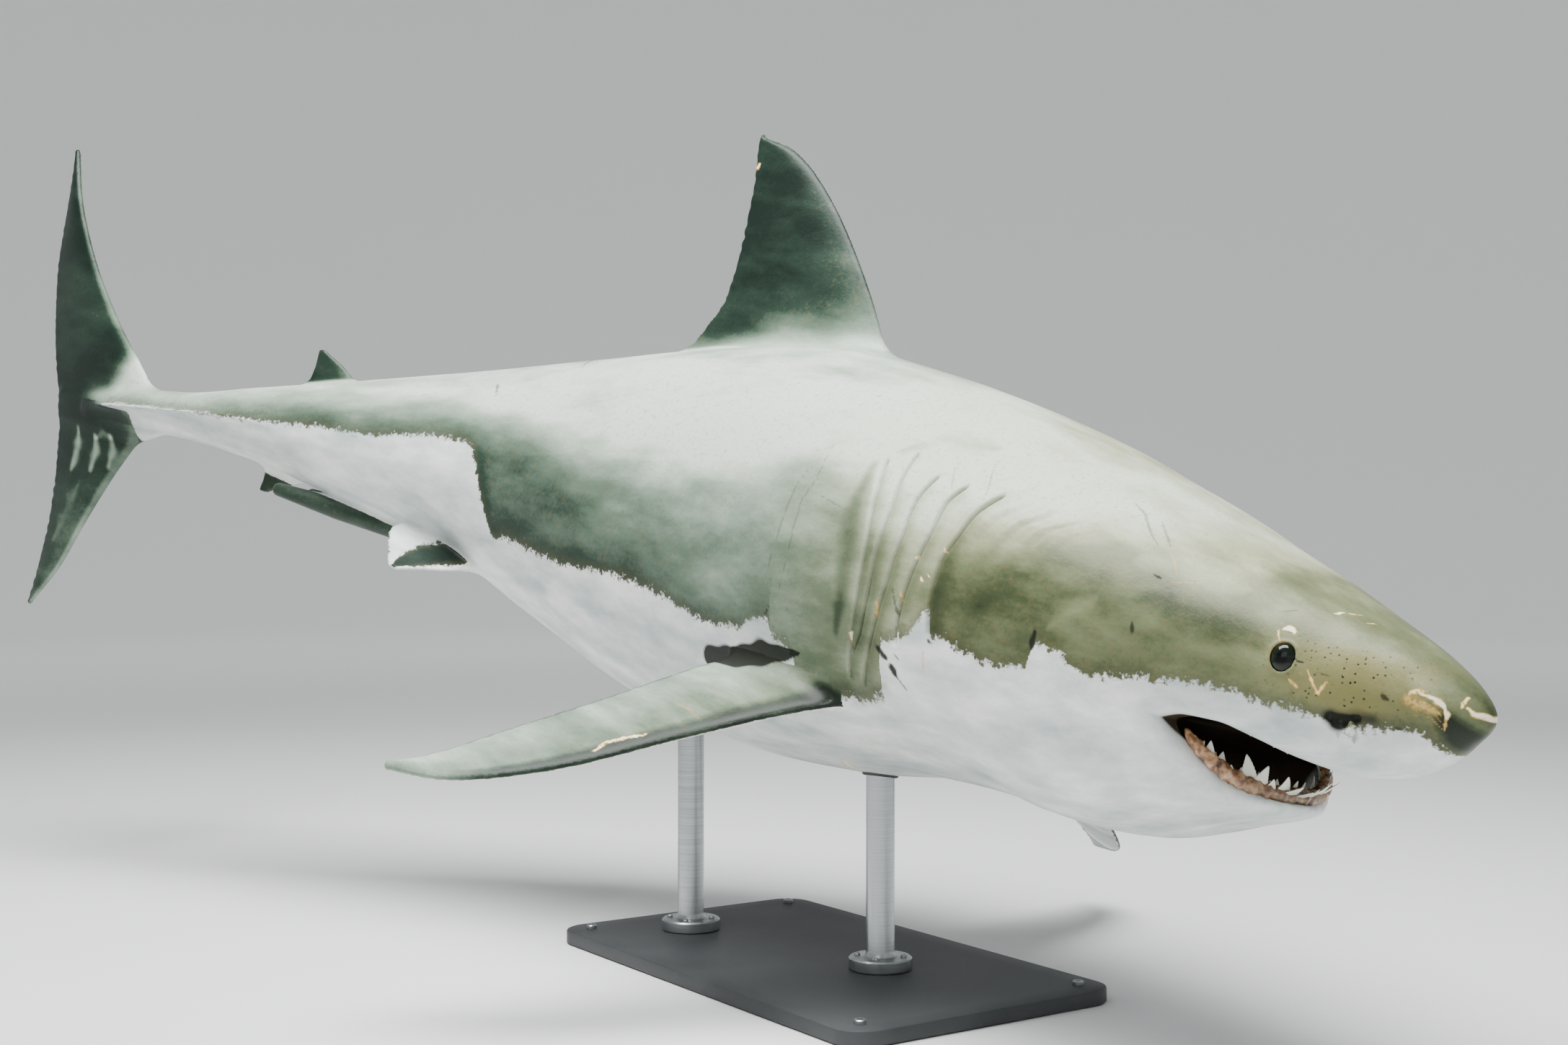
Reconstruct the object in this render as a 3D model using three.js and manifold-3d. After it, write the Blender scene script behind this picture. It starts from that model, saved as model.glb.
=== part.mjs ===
/**
 * Great white shark, an adult male 4.2 m long, as a life-size still model banking over a display stand.
 *
 * Units are millimetres, Z is up, and the shark swims towards +X. It is modelled straight first: a point is
 * (s, y, z), where s runs back from the snout tip, y is to the shark's left and z is up, all three in percent
 * of the total length. posed() then bends the spine, banks the body and lifts it onto the stand.
 */
import * as THREE from "three";
import { ParametricGeometry } from "three/addons/geometries/ParametricGeometry.js";
import { mergeVertices } from "three/addons/utils/BufferGeometryUtils.js";
import Module from "manifold-3d";

const wasm = await Module();
wasm.setup();

// ---- Driving dimensions -------------------------------------------------------------------------

const TOTAL_LENGTH = 4200; // snout tip to the end of the upper tail lobe laid back
const PERCENT = TOTAL_LENGTH / 100; // one percent of the length, in mm
const SEAM = 0.35; // clearance between two pieces that touch, in mm
const FACET_TOLERANCE = 0.05; // mm

const PITCH = THREE.MathUtils.degToRad(6.7); // nose down
const ROLL = THREE.MathUtils.degToRad(-10.5); // left side down
const SPINE_STATIONS = [-5, 22, 45, 65, 85, 110]; // where the heading of the spine is given
const SPINE_HEADINGS = [0, 0, -19.6, -35.2, -21.7, -12.2]; // degrees; negative swings the tail to the right
const SNOUT = new THREE.Vector3(1500, 110, 620); // where the snout tip hangs, from the middle of the base

const RING_SIDES = 24; // facets round the trunk

/** Stations of the trunk: s, top, bottom, half width, level of the widest point, roundness below it. */
const TRUNK = [
  [0, 0, 0, 0, 0, 2],
  [0.6, 0.8, -0.95, 0.85, 0, 2],
  [1.5, 1.38, -1.8, 1.55, 0, 2.1],
  [3, 2.08, -2.6, 2.5, 0, 2.2],
  [5, 2.84, -3.05, 3.55, 0, 2.4],
  [8, 3.94, -3.2, 4.75, 0, 2.6],
  [10.4, 4.74, -4.8, 5.55, 0, 2.4],
  [14, 5.96, -7.3, 6.55, 0, 2.45],
  [17, 6.83, -7.65, 7.2, 0, 2.4],
  [20, 7.71, -7.65, 7.8, 0, 2.3],
  [26, 9.05, -8.0, 8.6, 0, 2.15],
  [32, 10.06, -9.05, 8.95, 0, 2.1],
  [38, 10.66, -9.5, 8.75, 0, 2.1],
  [46, 9.8, -8.7, 7.8, 0.1, 2.1],
  [54, 8.12, -6.4, 6.4, 0.4, 2],
  [62, 6.12, -3.5, 4.9, 0.9, 2],
  [70, 4.15, -2.2, 3.4, 1.1, 2],
  [76, 2.8, -1.3, 2.3, 0.8, 2],
  [81, 1.75, -1.05, 1.6, 0.4, 2],
  [85, 1.33, -1.1, 1.2, 0.1, 2],
  [89.5, 0.5, -0.7, 0.3, -0.1, 2],
];

/** Stations of the lower jaw and throat: s, top, bottom, half width, level of the widest point, roundness. */
const JAW = [
  [7.25, -4.72, -4.72, 0, -4.72, 2],
  [7.55, -4.3, -5.1, 1.5, -4.7, 2.2],
  [8.2, -4.0, -5.35, 2.7, -4.65, 2.4],
  [8.9, -3.5, -5.6, 3.55, -4.5, 2.4],
  [9.6, -2.95, -5.85, 4.25, -4.3, 2.4],
  [10.4, -2.4, -6.15, 4.8, -4.0, 2.4],
  [12, -1.9, -6.75, 5.4, -3.8, 2.4],
  [15, -1.4, -7.3, 6.1, -3.3, 2.3],
  [18, -1.6, -7.3, 6.3, -3.2, 2.3],
  [21, -3.5, -5.0, 0, -4, 2.3],
];

const MOUTH = {
  corner: [10.4, -2.55], // where the lips meet, s and z
  upperHalfWidth: 5.0,
  lowerHalfWidth: 4.4,
  upperFront: 6.2, // s of the upper lip at the middle
  lowerFront: 7.2, // s of the lower lip at the middle
  upperLip: [[4.6, -3.4], [5.4, -3.1], [6.3, -2.85], [7.3, -2.5], [8.5, -2.22], [9.5, -2.25], [10.4, -2.55]],
  lowerLip: [[4.6, -4.6], [7.0, -4.5], [7.6, -4.3], [8.5, -3.75], [9.4, -3.2], [10.4, -2.55]],
  lipThickness: 0.75,
  palateRise: 0.7,
  floorDrop: 0.8,
  throatEnd: 13.8,
  throatHalfWidth: 0.4, // the least half width of the hollow
};

/** The cut that frees the lower jaw runs from the mouth's corner down and back to the throat. */
const JAW_CUT = { front: 3, floor: -9.5, back: 2.6, drop: 2.2 };

const GUM = {
  inset: 0.45, // behind the lips
  inwards: 0.6, // inside the jaw's half width
  radius: 0.3,
  upperRise: 0.12,
  lowerDrop: 0.05,
  reach: 80, // degrees either way from the middle
  endPower: 10, // how suddenly its ends round off
  steps: 18,
  sides: 5,
};
const TEETH_REACH = 68; // degrees either way from the middle
const TEETH = {
  upper: { perSide: 10, height: 0.3, width: 0.5, lean: 0.1 },
  lower: { perSide: 9, height: 0.8, width: 0.5, lean: 0.22 },
};
const TOOTH = { thickness: 0.16, flare: 1.35, shrink: 0.55, shrinkPower: 1.5 };

const EYE = { s: 6.16, z: 0.5, radius: 23, depth: 14, sunk: 7 }; // radius, depth and sunk in mm

const GILL_SLITS = [
  [[19.7, 4.35], [20.3, 3.0], [20.75, 1.3], [20.85, 0.0], [20.65, -1.75]],
  [[21.6, 4.5], [21.95, 2.8], [22.0, 1.4], [22.3, -0.7], [22.45, -2.3]],
  [[23.3, 4.7], [23.5, 3.2], [23.3, 0.8], [23.5, -0.8], [24.7, -4.3]],
  [[25.3, 5.5], [24.65, 2.9], [24.35, 0.2], [24.4, -1.6], [25.0, -3.1]],
  [[26.6, 5.0], [25.6, 2.4], [25.0, 0.0], [25.05, -2.2], [25.55, -4.2]],
];
const GILL = { width: 0.1, depth: 0.35, steps: 6 };

const BASE = { length: 1080, width: 620, thickness: 30, corner: 60 }; // mm
const ROD = { radius: 28, collarRadius: 62, collarHeight: 24, reach: 90 }; // mm; reach is how far it goes in
const ROD_STATIONS = { front: 31, rear: 44 };

/** Where the whole body is parted across the spine. */
const CUTS = { gills: 18.4, trunkFront: 29, trunkRear: 50.5, tailStock: 66, tailFin: 84.6 };
const PECTORAL_STATION = 29.5; // the pectoral fins are carried stiffly by the spine here

// ---- Small helpers ------------------------------------------------------------------------------

/** A smooth curve through [x, value] pairs that never overshoots them (monotone cubic). */
function smoothCurve(xs, ys) {
  const slope = xs.slice(1).map((x, i) => (ys[i + 1] - ys[i]) / (x - xs[i]));
  const tangent = ys.map((_, i) => {
    if (i === 0) return slope[0];
    if (i === ys.length - 1) return slope[i - 1];
    const product = slope[i - 1] * slope[i];
    return product <= 0 ? 0 : (2 * product) / (slope[i - 1] + slope[i]);
  });
  return (x) => {
    let i = xs.findIndex((knot) => knot > x) - 1;
    if (i === -2) i = xs.length - 2;
    i = Math.max(i, 0);
    const width = xs[i + 1] - xs[i];
    const t = THREE.MathUtils.clamp((x - xs[i]) / width, 0, 1);
    const a = (1 + 2 * t) * (1 - t) ** 2;
    const b = t * (1 - t) ** 2;
    const c = t * t * (3 - 2 * t);
    const d = t * t * (t - 1);
    return a * ys[i] + b * width * tangent[i] + c * ys[i + 1] + d * width * tangent[i + 1];
  };
}

const curveThrough = (pairs) => smoothCurve(pairs.map((p) => p[0]), pairs.map((p) => p[1]));

/** A three.js geometry as a solid that can be joined and cut. */
function solidOf(geometry) {
  const plain = geometry.clone();
  plain.deleteAttribute("normal");
  plain.deleteAttribute("uv");
  const welded = mergeVertices(plain, 1e-4);
  const index = Array.from(welded.index.array);
  const triangles = [];
  for (let i = 0; i < index.length; i += 3) {
    const [a, b, c] = index.slice(i, i + 3);
    if (a !== b && b !== c && c !== a) triangles.push(a, b, c);
  }
  const points = welded.attributes.position.array;
  const outward = signedVolume(points, triangles) > 0;
  const ordered = outward ? triangles : triangles.toReversed();
  const mesh = new wasm.Mesh({
    numProp: 3,
    vertProperties: new Float32Array(points),
    triVerts: new Uint32Array(ordered),
  });
  return new wasm.Manifold(mesh);
}

/** Six times the volume enclosed by the triangles; negative when they face inwards. */
function signedVolume(points, triangles) {
  let sum = 0;
  const [a, b, c] = [new THREE.Vector3(), new THREE.Vector3(), new THREE.Vector3()];
  for (let i = 0; i < triangles.length; i += 3) {
    a.fromArray(points, 3 * triangles[i]);
    b.fromArray(points, 3 * triangles[i + 1]);
    c.fromArray(points, 3 * triangles[i + 2]);
    sum += a.dot(b.cross(c));
  }
  return sum;
}

/** A closed solid swept through rings: point(u, v) gives (s, y, z) in percent, one ring for each u. */
function sweep(point, stacks, slices) {
  const surface = (v, u, target) => target.copy(point(u, v)).multiplyScalar(PERCENT);
  return solidOf(new ParametricGeometry(surface, slices, stacks));
}

/** A flat plate in s and z, given by its outline in percent, that runs right through the body across y. */
function plate(outline, halfWidth = 12) {
  const shape = new THREE.Shape(outline.map(([s, z]) => new THREE.Vector2(s * PERCENT, z * PERCENT)));
  const depth = 2 * halfWidth * PERCENT;
  const geometry = new THREE.ExtrudeGeometry(shape, { depth, bevelEnabled: false });
  geometry.rotateX(Math.PI / 2);
  geometry.translate(0, depth / 2, 0);
  return solidOf(geometry);
}

/** All the space behind a station, shifted back by some millimetres. */
function spaceBehind(station, shift = 0) {
  const from = station + shift / PERCENT;
  const [to, high] = [from + 120, 40]; // well past the tail and the fins
  return plate([[from, -high], [to, -high], [to, high], [from, high]], 1.5 * high);
}

// ---- Trunk, head and mouth ----------------------------------------------------------------------

/** Interpolates a table of stations; the root of s keeps the snout and chin blunt. */
function sections(table) {
  const start = table[0][0];
  const along = (s) => Math.sqrt(Math.max(s - start, 0));
  const columns = [1, 2, 3, 4, 5].map((k) => curveThrough(table.map((row) => [along(row[0]), row[k]])));
  return (s) => {
    const [top, bottom, halfWidth, level, roundness] = columns.map((curve) => curve(along(s)));
    return { top, bottom, halfWidth, level, roundness };
  };
}

const trunkAt = sections(TRUNK);
const jawAt = sections(JAW);
const TOP_ROUNDNESS = 2;

/** A point on a cross-section, with v going once round from the left side over the back. */
function sectionPoint(section, s, v, grow = 0) {
  const angle = v * 2 * Math.PI;
  const [c, d] = [Math.cos(angle), Math.sin(angle)];
  const power = 2 / (d > 0 ? TOP_ROUNDNESS : section.roundness);
  const y = (section.halfWidth + grow) * Math.sign(c) * Math.abs(c) ** power;
  const rise = d > 0 ? section.top + grow - section.level : section.level - section.bottom + grow;
  const z = section.level + rise * Math.sign(d) * Math.abs(d) ** power;
  return new THREE.Vector3(s, y, z);
}

/** A loft through the sections between two stations; rings crowd towards a blunt start. */
function loft(at, from, to, stacks, grow = 0, bunch = 1.6) {
  return sweep((u, v) => {
    const inner = THREE.MathUtils.clamp((u * stacks - 1) / (stacks - 2), 0, 1);
    const s = from + (to - from) * inner ** bunch;
    const section = at(s);
    if (u === 0 || u === 1) {
      const nose = grow / 2 * (u === 0 ? -1 : 1);
      return new THREE.Vector3(s + nose, 0, (section.top + section.bottom) / 2);
    }
    return sectionPoint(section, s, v, grow);
  }, stacks, RING_SIDES);
}

/** Half width of the trunk at a station and level. */
function flankAt(s, z) {
  const section = trunkAt(s);
  const above = z > section.level;
  const rise = above ? section.top - section.level : section.level - section.bottom;
  const power = above ? TOP_ROUNDNESS : section.roundness;
  const part = Math.min(Math.abs(z - section.level) / rise, 1);
  return section.halfWidth * (1 - part ** power) ** (1 / power);
}

const trunkLoft = (grow = 0) => loft(trunkAt, 0.02, TRUNK.at(-1)[0], 41, grow, 1.7);
const jawLoft = (grow = 0) => loft(jawAt, JAW[0][0] + 0.02, JAW.at(-1)[0], 16, grow, 1.4);

const upperLip = curveThrough(MOUTH.upperLip);
const lowerLip = curveThrough(MOUTH.lowerLip);

/** The open gap between the lips, right across the head. */
function gape() {
  const steps = 7;
  const front = MOUTH.upperLip[0][0];
  const [cornerS] = MOUTH.corner;
  const stations = Array.from({ length: steps + 1 }, (_, i) => front + ((cornerS - front) * i) / steps);
  const above = stations.map((s) => [s, upperLip(s)]);
  const below = stations.slice(0, -1).map((s) => [s, lowerLip(s)]);
  return plate([...below, ...above.toReversed()]);
}

/** Half width of the mouth's arch at a station, for an arch whose middle stands at front. */
function archHalfWidth(s, front) {
  const [cornerS] = MOUTH.corner;
  const back = THREE.MathUtils.clamp((cornerS - s) / (cornerS - front), 0, 1);
  return MOUTH.lowerHalfWidth * Math.sqrt(1 - back * back);
}

/** The hollow inside the lips, from behind the front teeth to the throat. */
function mouthHollow() {
  const front = MOUTH.lowerFront + MOUTH.lipThickness;
  const [cornerS] = MOUTH.corner;
  return sweep((u, v) => {
    const s = front + (MOUTH.throatEnd - front) * u;
    const left = (MOUTH.throatEnd - s) / (MOUTH.throatEnd - cornerS);
    const closing = Math.sqrt(THREE.MathUtils.clamp(left, 0, 1));
    const arch = archHalfWidth(Math.min(s, cornerS), front) - MOUTH.lipThickness * Math.sqrt(u);
    const roof = upperLip(Math.min(s, cornerS)) + MOUTH.palateRise;
    const floor = lowerLip(Math.min(s, cornerS)) - MOUTH.floorDrop;
    const angle = v * 2 * Math.PI;
    const middle = (roof + floor) / 2;
    const ends = u === 0 || u === 1 ? 0 : 1;
    const y = ends * Math.max(arch, MOUTH.throatHalfWidth) * closing * Math.cos(angle);
    return new THREE.Vector3(s, y, middle + ends * ((roof - floor) / 2) * Math.sin(angle));
  }, 8, 14);
}

/** The space that holds the lower jaw: below the gape and in front of a cut from its corner to the throat. */
function jawSpace(seam = 0) {
  const [s, z] = MOUTH.corner;
  const wider = seam / PERCENT;
  const { front, floor, back, drop } = JAW_CUT;
  return plate([
    [front, floor],
    [s + back + wider, floor],
    [s + wider, z + wider],
    [front, z - drop + wider],
  ]);
}

/** A point on the gum's middle line at an angle round the arch, 0 at the front. */
function gumPoint(angle, isUpper) {
  const front = isUpper ? MOUTH.upperFront : MOUTH.lowerFront;
  const [cornerS] = MOUTH.corner;
  const length = cornerS - front - GUM.inset;
  const s = cornerS - length * Math.cos(angle);
  const halfWidth = isUpper ? MOUTH.upperHalfWidth : MOUTH.lowerHalfWidth;
  const y = (halfWidth - GUM.inwards) * Math.sin(angle);
  const z = isUpper ? upperLip(s) + GUM.upperRise : lowerLip(s) - GUM.lowerDrop;
  return new THREE.Vector3(s, y, z);
}

/** The ridge of gum that carries one row of teeth. */
function gumRidge(isUpper, grow = 0) {
  const reach = THREE.MathUtils.degToRad(GUM.reach);
  return sweep((u, v) => {
    const angle = reach * (2 * u - 1);
    const centre = gumPoint(angle, isUpper);
    const taper = Math.sqrt(Math.max(1 - (2 * u - 1) ** GUM.endPower, 0));
    const radius = u === 0 || u === 1 ? 0 : GUM.radius * taper + grow;
    const turn = v * 2 * Math.PI;
    const out = radius * Math.cos(turn);
    return new THREE.Vector3(
      centre.x - out * Math.cos(angle),
      centre.y + out * Math.sin(angle),
      centre.z + radius * Math.sin(turn),
    );
  }, GUM.steps, GUM.sides);
}

/** One pointed flat tooth standing on the gum. */
function tooth(angle, isUpper, shape) {
  const size = 1 - TOOTH.shrink * Math.abs(angle / (Math.PI / 2)) ** TOOTH.shrinkPower;
  const root = gumPoint(angle, isUpper);
  const height = (shape.height * size + GUM.radius) * PERCENT;
  const blade = new THREE.ConeGeometry((shape.width / 2) * size * PERCENT, height, 4);
  blade.rotateY(Math.PI / 4);
  blade.scale(TOOTH.flare, 1, TOOTH.thickness / (shape.width * size));
  blade.translate(0, height / 2, 0);
  blade.rotateX(isUpper ? -Math.PI / 2 - shape.lean : Math.PI / 2 - shape.lean);
  blade.rotateZ(Math.PI / 2 + angle);
  blade.translate(root.x * PERCENT, root.y * PERCENT, root.z * PERCENT);
  return solidOf(blade);
}

/** A gum ridge with its teeth, as one piece. */
function gumWithTeeth(isUpper) {
  const shape = isUpper ? TEETH.upper : TEETH.lower;
  const step = THREE.MathUtils.degToRad(TEETH_REACH) / shape.perSide;
  let solid = gumRidge(isUpper);
  for (let i = 0; i < shape.perSide; i += 1) {
    for (const side of [-1, 1]) {
      solid = solid.add(tooth(side * (i + 0.5) * step, isUpper, shape));
    }
  }
  return solid;
}

/** An eyeball, flattened towards the head, on one side. */
function eyeball(side, grow = 0) {
  const { s, z, radius, depth, sunk } = EYE;
  const flank = flankAt(s, z);
  const ahead = flankAt(s - 1, z);
  const facing = Math.atan2(flank - ahead, 1); // how far the cheek turns to the front
  const ball = new THREE.SphereGeometry(1, 12, 8);
  ball.rotateX(Math.PI / 2);
  ball.scale(radius + grow, depth + grow, radius + grow);
  ball.translate(0, -sunk, 0);
  ball.rotateZ(facing);
  if (side < 0) ball.scale(1, -1, 1);
  ball.translate(s * PERCENT, side * flank * PERCENT, z * PERCENT);
  return solidOf(ball);
}

/** A thin curved cutter for one gill slit. */
function gillSlit(points, side) {
  const path = curveThrough(points.map(([s, z]) => [-z, s]));
  const [first, last] = [-points[0][1], -points.at(-1)[1]];
  return sweep((u, v) => {
    const inner = THREE.MathUtils.clamp((u * GILL.steps - 1) / (GILL.steps - 2), 0, 1);
    const drop = first + (last - first) * inner;
    const s = path(drop);
    const flank = flankAt(s, -drop);
    const ends = u === 0 || u === 1 ? 0 : 1;
    const corner = Math.round(v * 4) % 4;
    const across = ends * (corner === 0 || corner === 3 ? -1 : 1) * (GILL.width / 2);
    const inwards = ends * (corner < 2 ? -1 : 1) * GILL.depth;
    return new THREE.Vector3(s + across, side * (flank + inwards), -drop);
  }, GILL.steps, 4);
}

// ---- Fins ---------------------------------------------------------------------------------------

/** A fin's section: round in front, thin behind; taper is how much thinner the tip is than the root. */
const FIN_SECTION = { round: 1.5, blunt: 0.1, taper: 0.75, crowding: 0.85 };

/** A fin between a leading and a trailing edge, each given as points from the root to the tip. */
function fin({ leading, trailing, thickness, across, stacks = 9, slices = 12 }) {
  const edge = (points) => {
    const knots = points.map((p) => new THREE.Vector3(...p));
    const curve = new THREE.CatmullRomCurve3(knots, false, "centripetal");
    return (u) => curve.getPoint(u);
  };
  const front = edge(leading);
  const back = edge(trailing);
  const normal = new THREE.Vector3(...across).normalize();
  return sweep((u, v) => {
    const inner = THREE.MathUtils.clamp((u * stacks - 1) / (stacks - 2), 0, 1) ** FIN_SECTION.crowding;
    const [a, b] = [front(inner), back(inner)];
    if (u === 0 || u === 1) return a.lerp(b, 0.5);
    const turn = v * 2 * Math.PI;
    const chord = (1 - Math.cos(turn)) / 2;
    const roundness = FIN_SECTION.round * Math.sqrt(chord) * (1 - chord);
    const bluntness = FIN_SECTION.blunt * Math.sin(Math.PI * chord);
    const half = thickness * (1 - FIN_SECTION.taper * inner) * (roundness + bluntness);
    const onEdge = v === 0 || v === 1 || Math.abs(v - 0.5) < 1e-6;
    return a.lerp(b, chord).addScaledVector(normal, onEdge ? 0 : half * (v < 0.5 ? 1 : -1));
  }, stacks, slices);
}

/** The same list of points on the other side of the body. */
const mirrored = (points, side) => points.map(([s, y, z]) => [s, side * y, z]);

const firstDorsal = () => fin({
  leading: [
    [36.2, 0, 9.6], [37.2, 0, 11.5], [40.0, 0, 15.4],
    [42.9, 0, 18.6], [45.5, 0, 20.5], [47.4, 0, 21.0],
  ],
  trailing: [
    [49.3, 0, 9.0], [48.5, 0, 10.5], [47.5, 0, 12.5],
    [47.25, 0, 15.5], [47.3, 0, 18], [47.6, 0, 20.7],
  ],
  thickness: 0.95,
  across: [0, 1, 0],
});

const secondDorsal = () => fin({
  leading: [[69.3, 0, 3.9], [70.6, 0, 4.9], [72.0, 0, 5.6]],
  trailing: [[73.0, 0, 3.0], [72.5, 0, 4.3], [72.4, 0, 5.5]],
  thickness: 0.28,
  across: [0, 1, 0],
  stacks: 6,
  slices: 8,
});

const analFin = () => fin({
  leading: [[71.3, 0, -1.5], [72.5, 0, -2.3], [73.9, 0, -2.9]],
  trailing: [[74.7, 0, -1.1], [74.3, 0, -1.9], [74.4, 0, -2.8]],
  thickness: 0.28,
  across: [0, 1, 0],
  stacks: 6,
  slices: 8,
});

const pectoral = (side) => fin({
  leading: mirrored([
    [25.7, 3.2, -4.0], [25.9, 5.5, -4.9], [27.7, 8.6, -6.2], [29.4, 12.4, -8.0], [31.7, 17.8, -10.6],
    [34.2, 21.1, -11.8], [36.5, 22.1, -12.0],
  ], side),
  trailing: mirrored([
    [32.4, 3.2, -2.9], [33.4, 6.6, -4.4], [34.1, 9.0, -5.5], [34.8, 13.6, -7.8], [35.6, 17.6, -9.8],
    [36.2, 20.6, -11.3], [36.9, 22.1, -11.9],
  ], side),
  thickness: 0.8,
  across: [0.12, side * 0.43, 1],
  stacks: 12,
});

const pelvic = (side) => fin({
  leading: mirrored([[56.4, 1.2, -4.0], [57.2, 3.2, -4.3], [60.2, 6.5, -5.0]], side),
  trailing: mirrored([[61.8, 1.2, -2.6], [62.8, 3.6, -3.0], [60.9, 6.5, -4.9]], side),
  thickness: 0.35,
  across: [0.25, side * 0.2, 1],
  stacks: 7,
  slices: 8,
});

const CLASPER = {
  path: [[60.2, 0.9, -3.7], [64, 1.2, -3.25], [68, 1.4, -2.9], [72.4, 1.55, -2.55]],
  radius: 0.5,
  swelling: 0.3, // thicker in the middle
  endPower: 6, // how suddenly its end rounds off
};

/** A clasper: a blunt rod that trails back from the inner edge of a pelvic fin. */
function clasper(side) {
  const points = mirrored(CLASPER.path, side).map((p) => new THREE.Vector3(...p));
  const curve = new THREE.CatmullRomCurve3(points);
  return sweep((u, v) => {
    const centre = curve.getPoint(u);
    const turn = v * 2 * Math.PI;
    const swell = 1 + CLASPER.swelling * (Math.sin(Math.PI * u) - 0.5);
    const ends = u === 0 || u === 1 ? 0 : Math.sqrt(1 - u ** CLASPER.endPower);
    const radius = CLASPER.radius * swell * ends;
    return centre.add(new THREE.Vector3(0, radius * Math.cos(turn), radius * Math.sin(turn)));
  }, 9, 8);
}

const upperLobe = () => fin({
  leading: [
    [83.8, 0, 0.4], [85.8, 0, 2.2], [89.4, 0, 5.0],
    [93.4, 0, 8.7], [96.4, 0, 12.5], [97.8, 0, 15.3],
  ],
  trailing: [
    [93.0, 0, -1.2], [94.6, 0, 1.2], [96.1, 0, 4.6],
    [97.2, 0, 8.4], [97.6, 0, 12.2], [98.0, 0, 15.2],
  ],
  thickness: 0.75,
  across: [0, 1, 0],
});

const lowerLobe = () => fin({
  leading: [
    [83.8, 0, 0.0], [85.2, 0, -2.0], [86.7, 0, -4.3],
    [88.4, 0, -7.4], [90.0, 0, -10.6], [92.0, 0, -13.1],
  ],
  trailing: [
    [93.3, 0, -0.6], [92.9, 0, -2.6], [92.2, 0, -5.6],
    [91.9, 0, -8.6], [92.0, 0, -11.0], [92.2, 0, -13.0],
  ],
  thickness: 0.7,
  across: [0, 1, 0],
});

const KEEL = {
  reach: [[71, 2.6], [76, 2.75], [81, 2.65], [86, 2.0], [90, 0.4]], // s and half width
  level: [[71, 1.1], [76, 0.8], [82, 0.25], [90, -0.3]], // s and z
  halfThickness: 0.28,
};

/** The sharp shelf along each side of the tail stock. */
function keel(grow = 0) {
  const [from, to] = [KEEL.reach[0][0], KEEL.reach.at(-1)[0]];
  const reach = curveThrough(KEEL.reach);
  const level = curveThrough(KEEL.level);
  return sweep((u, v) => {
    const s = from + (to - from) * u;
    const turn = v * 2 * Math.PI;
    const ends = u === 0 || u === 1 ? 0 : 1;
    const y = ends * (reach(s) + grow) * Math.cos(turn);
    const rise = ends * (KEEL.halfThickness + grow) * Math.sin(turn);
    return new THREE.Vector3(s, y, level(s) + rise);
  }, 9, 6);
}

// ---- Pose ---------------------------------------------------------------------------------------

const headingAt = smoothCurve(SPINE_STATIONS, SPINE_HEADINGS.map(THREE.MathUtils.degToRad));
const SPINE_STEP = 0.25; // percent
const SPINE_END = 105;

/** Points along the bent spine, as [x, y] in percent from the snout. */
const spine = [[0, 0]];
for (let s = 0; s < SPINE_END; s += SPINE_STEP) {
  const heading = headingAt(s + SPINE_STEP / 2);
  const [x, y] = spine.at(-1);
  spine.push([x - Math.cos(heading) * SPINE_STEP, y + Math.sin(heading) * SPINE_STEP]);
}

const banking = new THREE.Matrix4().makeRotationY(PITCH).multiply(new THREE.Matrix4().makeRotationX(ROLL));

/** Where a station of the spine lies, in percent from the snout, and which way it heads. */
function spineAt(s) {
  const place = THREE.MathUtils.clamp(s / SPINE_STEP, 0, spine.length - 1.001);
  const i = Math.floor(place);
  const x = THREE.MathUtils.lerp(spine[i][0], spine[i + 1][0], place - i);
  const y = THREE.MathUtils.lerp(spine[i][1], spine[i + 1][1], place - i);
  return { x, y, heading: headingAt(s) };
}

/** Moves a point by the frame of one spine station: stiffly when every point is given the same station. */
function poseFrom(point, station) {
  const { x, y, heading } = spineAt(station);
  const back = point.x - station * PERCENT;
  const bent = new THREE.Vector3(
    x * PERCENT - back * Math.cos(heading) + point.y * Math.sin(heading),
    y * PERCENT + back * Math.sin(heading) + point.y * Math.cos(heading),
    point.z,
  );
  return bent.applyMatrix4(banking).add(SNOUT);
}

/** Bends a straight solid along the spine, or carries it stiffly with the frame of one station. */
function posed(solid, stiffStation) {
  const { vertProperties, triVerts } = solid.getMesh();
  const positions = new Float32Array(vertProperties.length);
  const point = new THREE.Vector3();
  for (let i = 0; i < vertProperties.length; i += 3) {
    point.fromArray(vertProperties, i);
    const station = stiffStation ?? Math.max(point.x / PERCENT, 0);
    poseFrom(point, station).toArray(positions, i);
  }
  // s runs against X, so the triangles turn over
  return new wasm.Manifold(new wasm.Mesh({
    numProp: 3,
    vertProperties: positions,
    triVerts: triVerts.toReversed(),
  }));
}

// ---- Assembly -----------------------------------------------------------------------------------

const shark = new THREE.Group();
shark.name = "great_white_shark";

/** The largest connected piece of a solid, with the flat facets that cuts have split joined up again. */
function mainPiece(solid) {
  const pieces = solid.asOriginal().simplify(FACET_TOLERANCE).decompose();
  return pieces.reduce((best, piece) => (piece.volume() > best.volume() ? piece : best));
}

/** Turns a solid into a named mesh with its own material. */
function addMesh(name, solid, finish) {
  const { vertProperties, triVerts } = mainPiece(solid).getMesh();
  const geometry = new THREE.BufferGeometry();
  geometry.setAttribute("position", new THREE.BufferAttribute(vertProperties, 3));
  geometry.setIndex(Array.from(triVerts));
  geometry.computeVertexNormals();
  const mesh = new THREE.Mesh(geometry, new THREE.MeshStandardMaterial(finish));
  mesh.name = name;
  shark.add(mesh);
}

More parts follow.
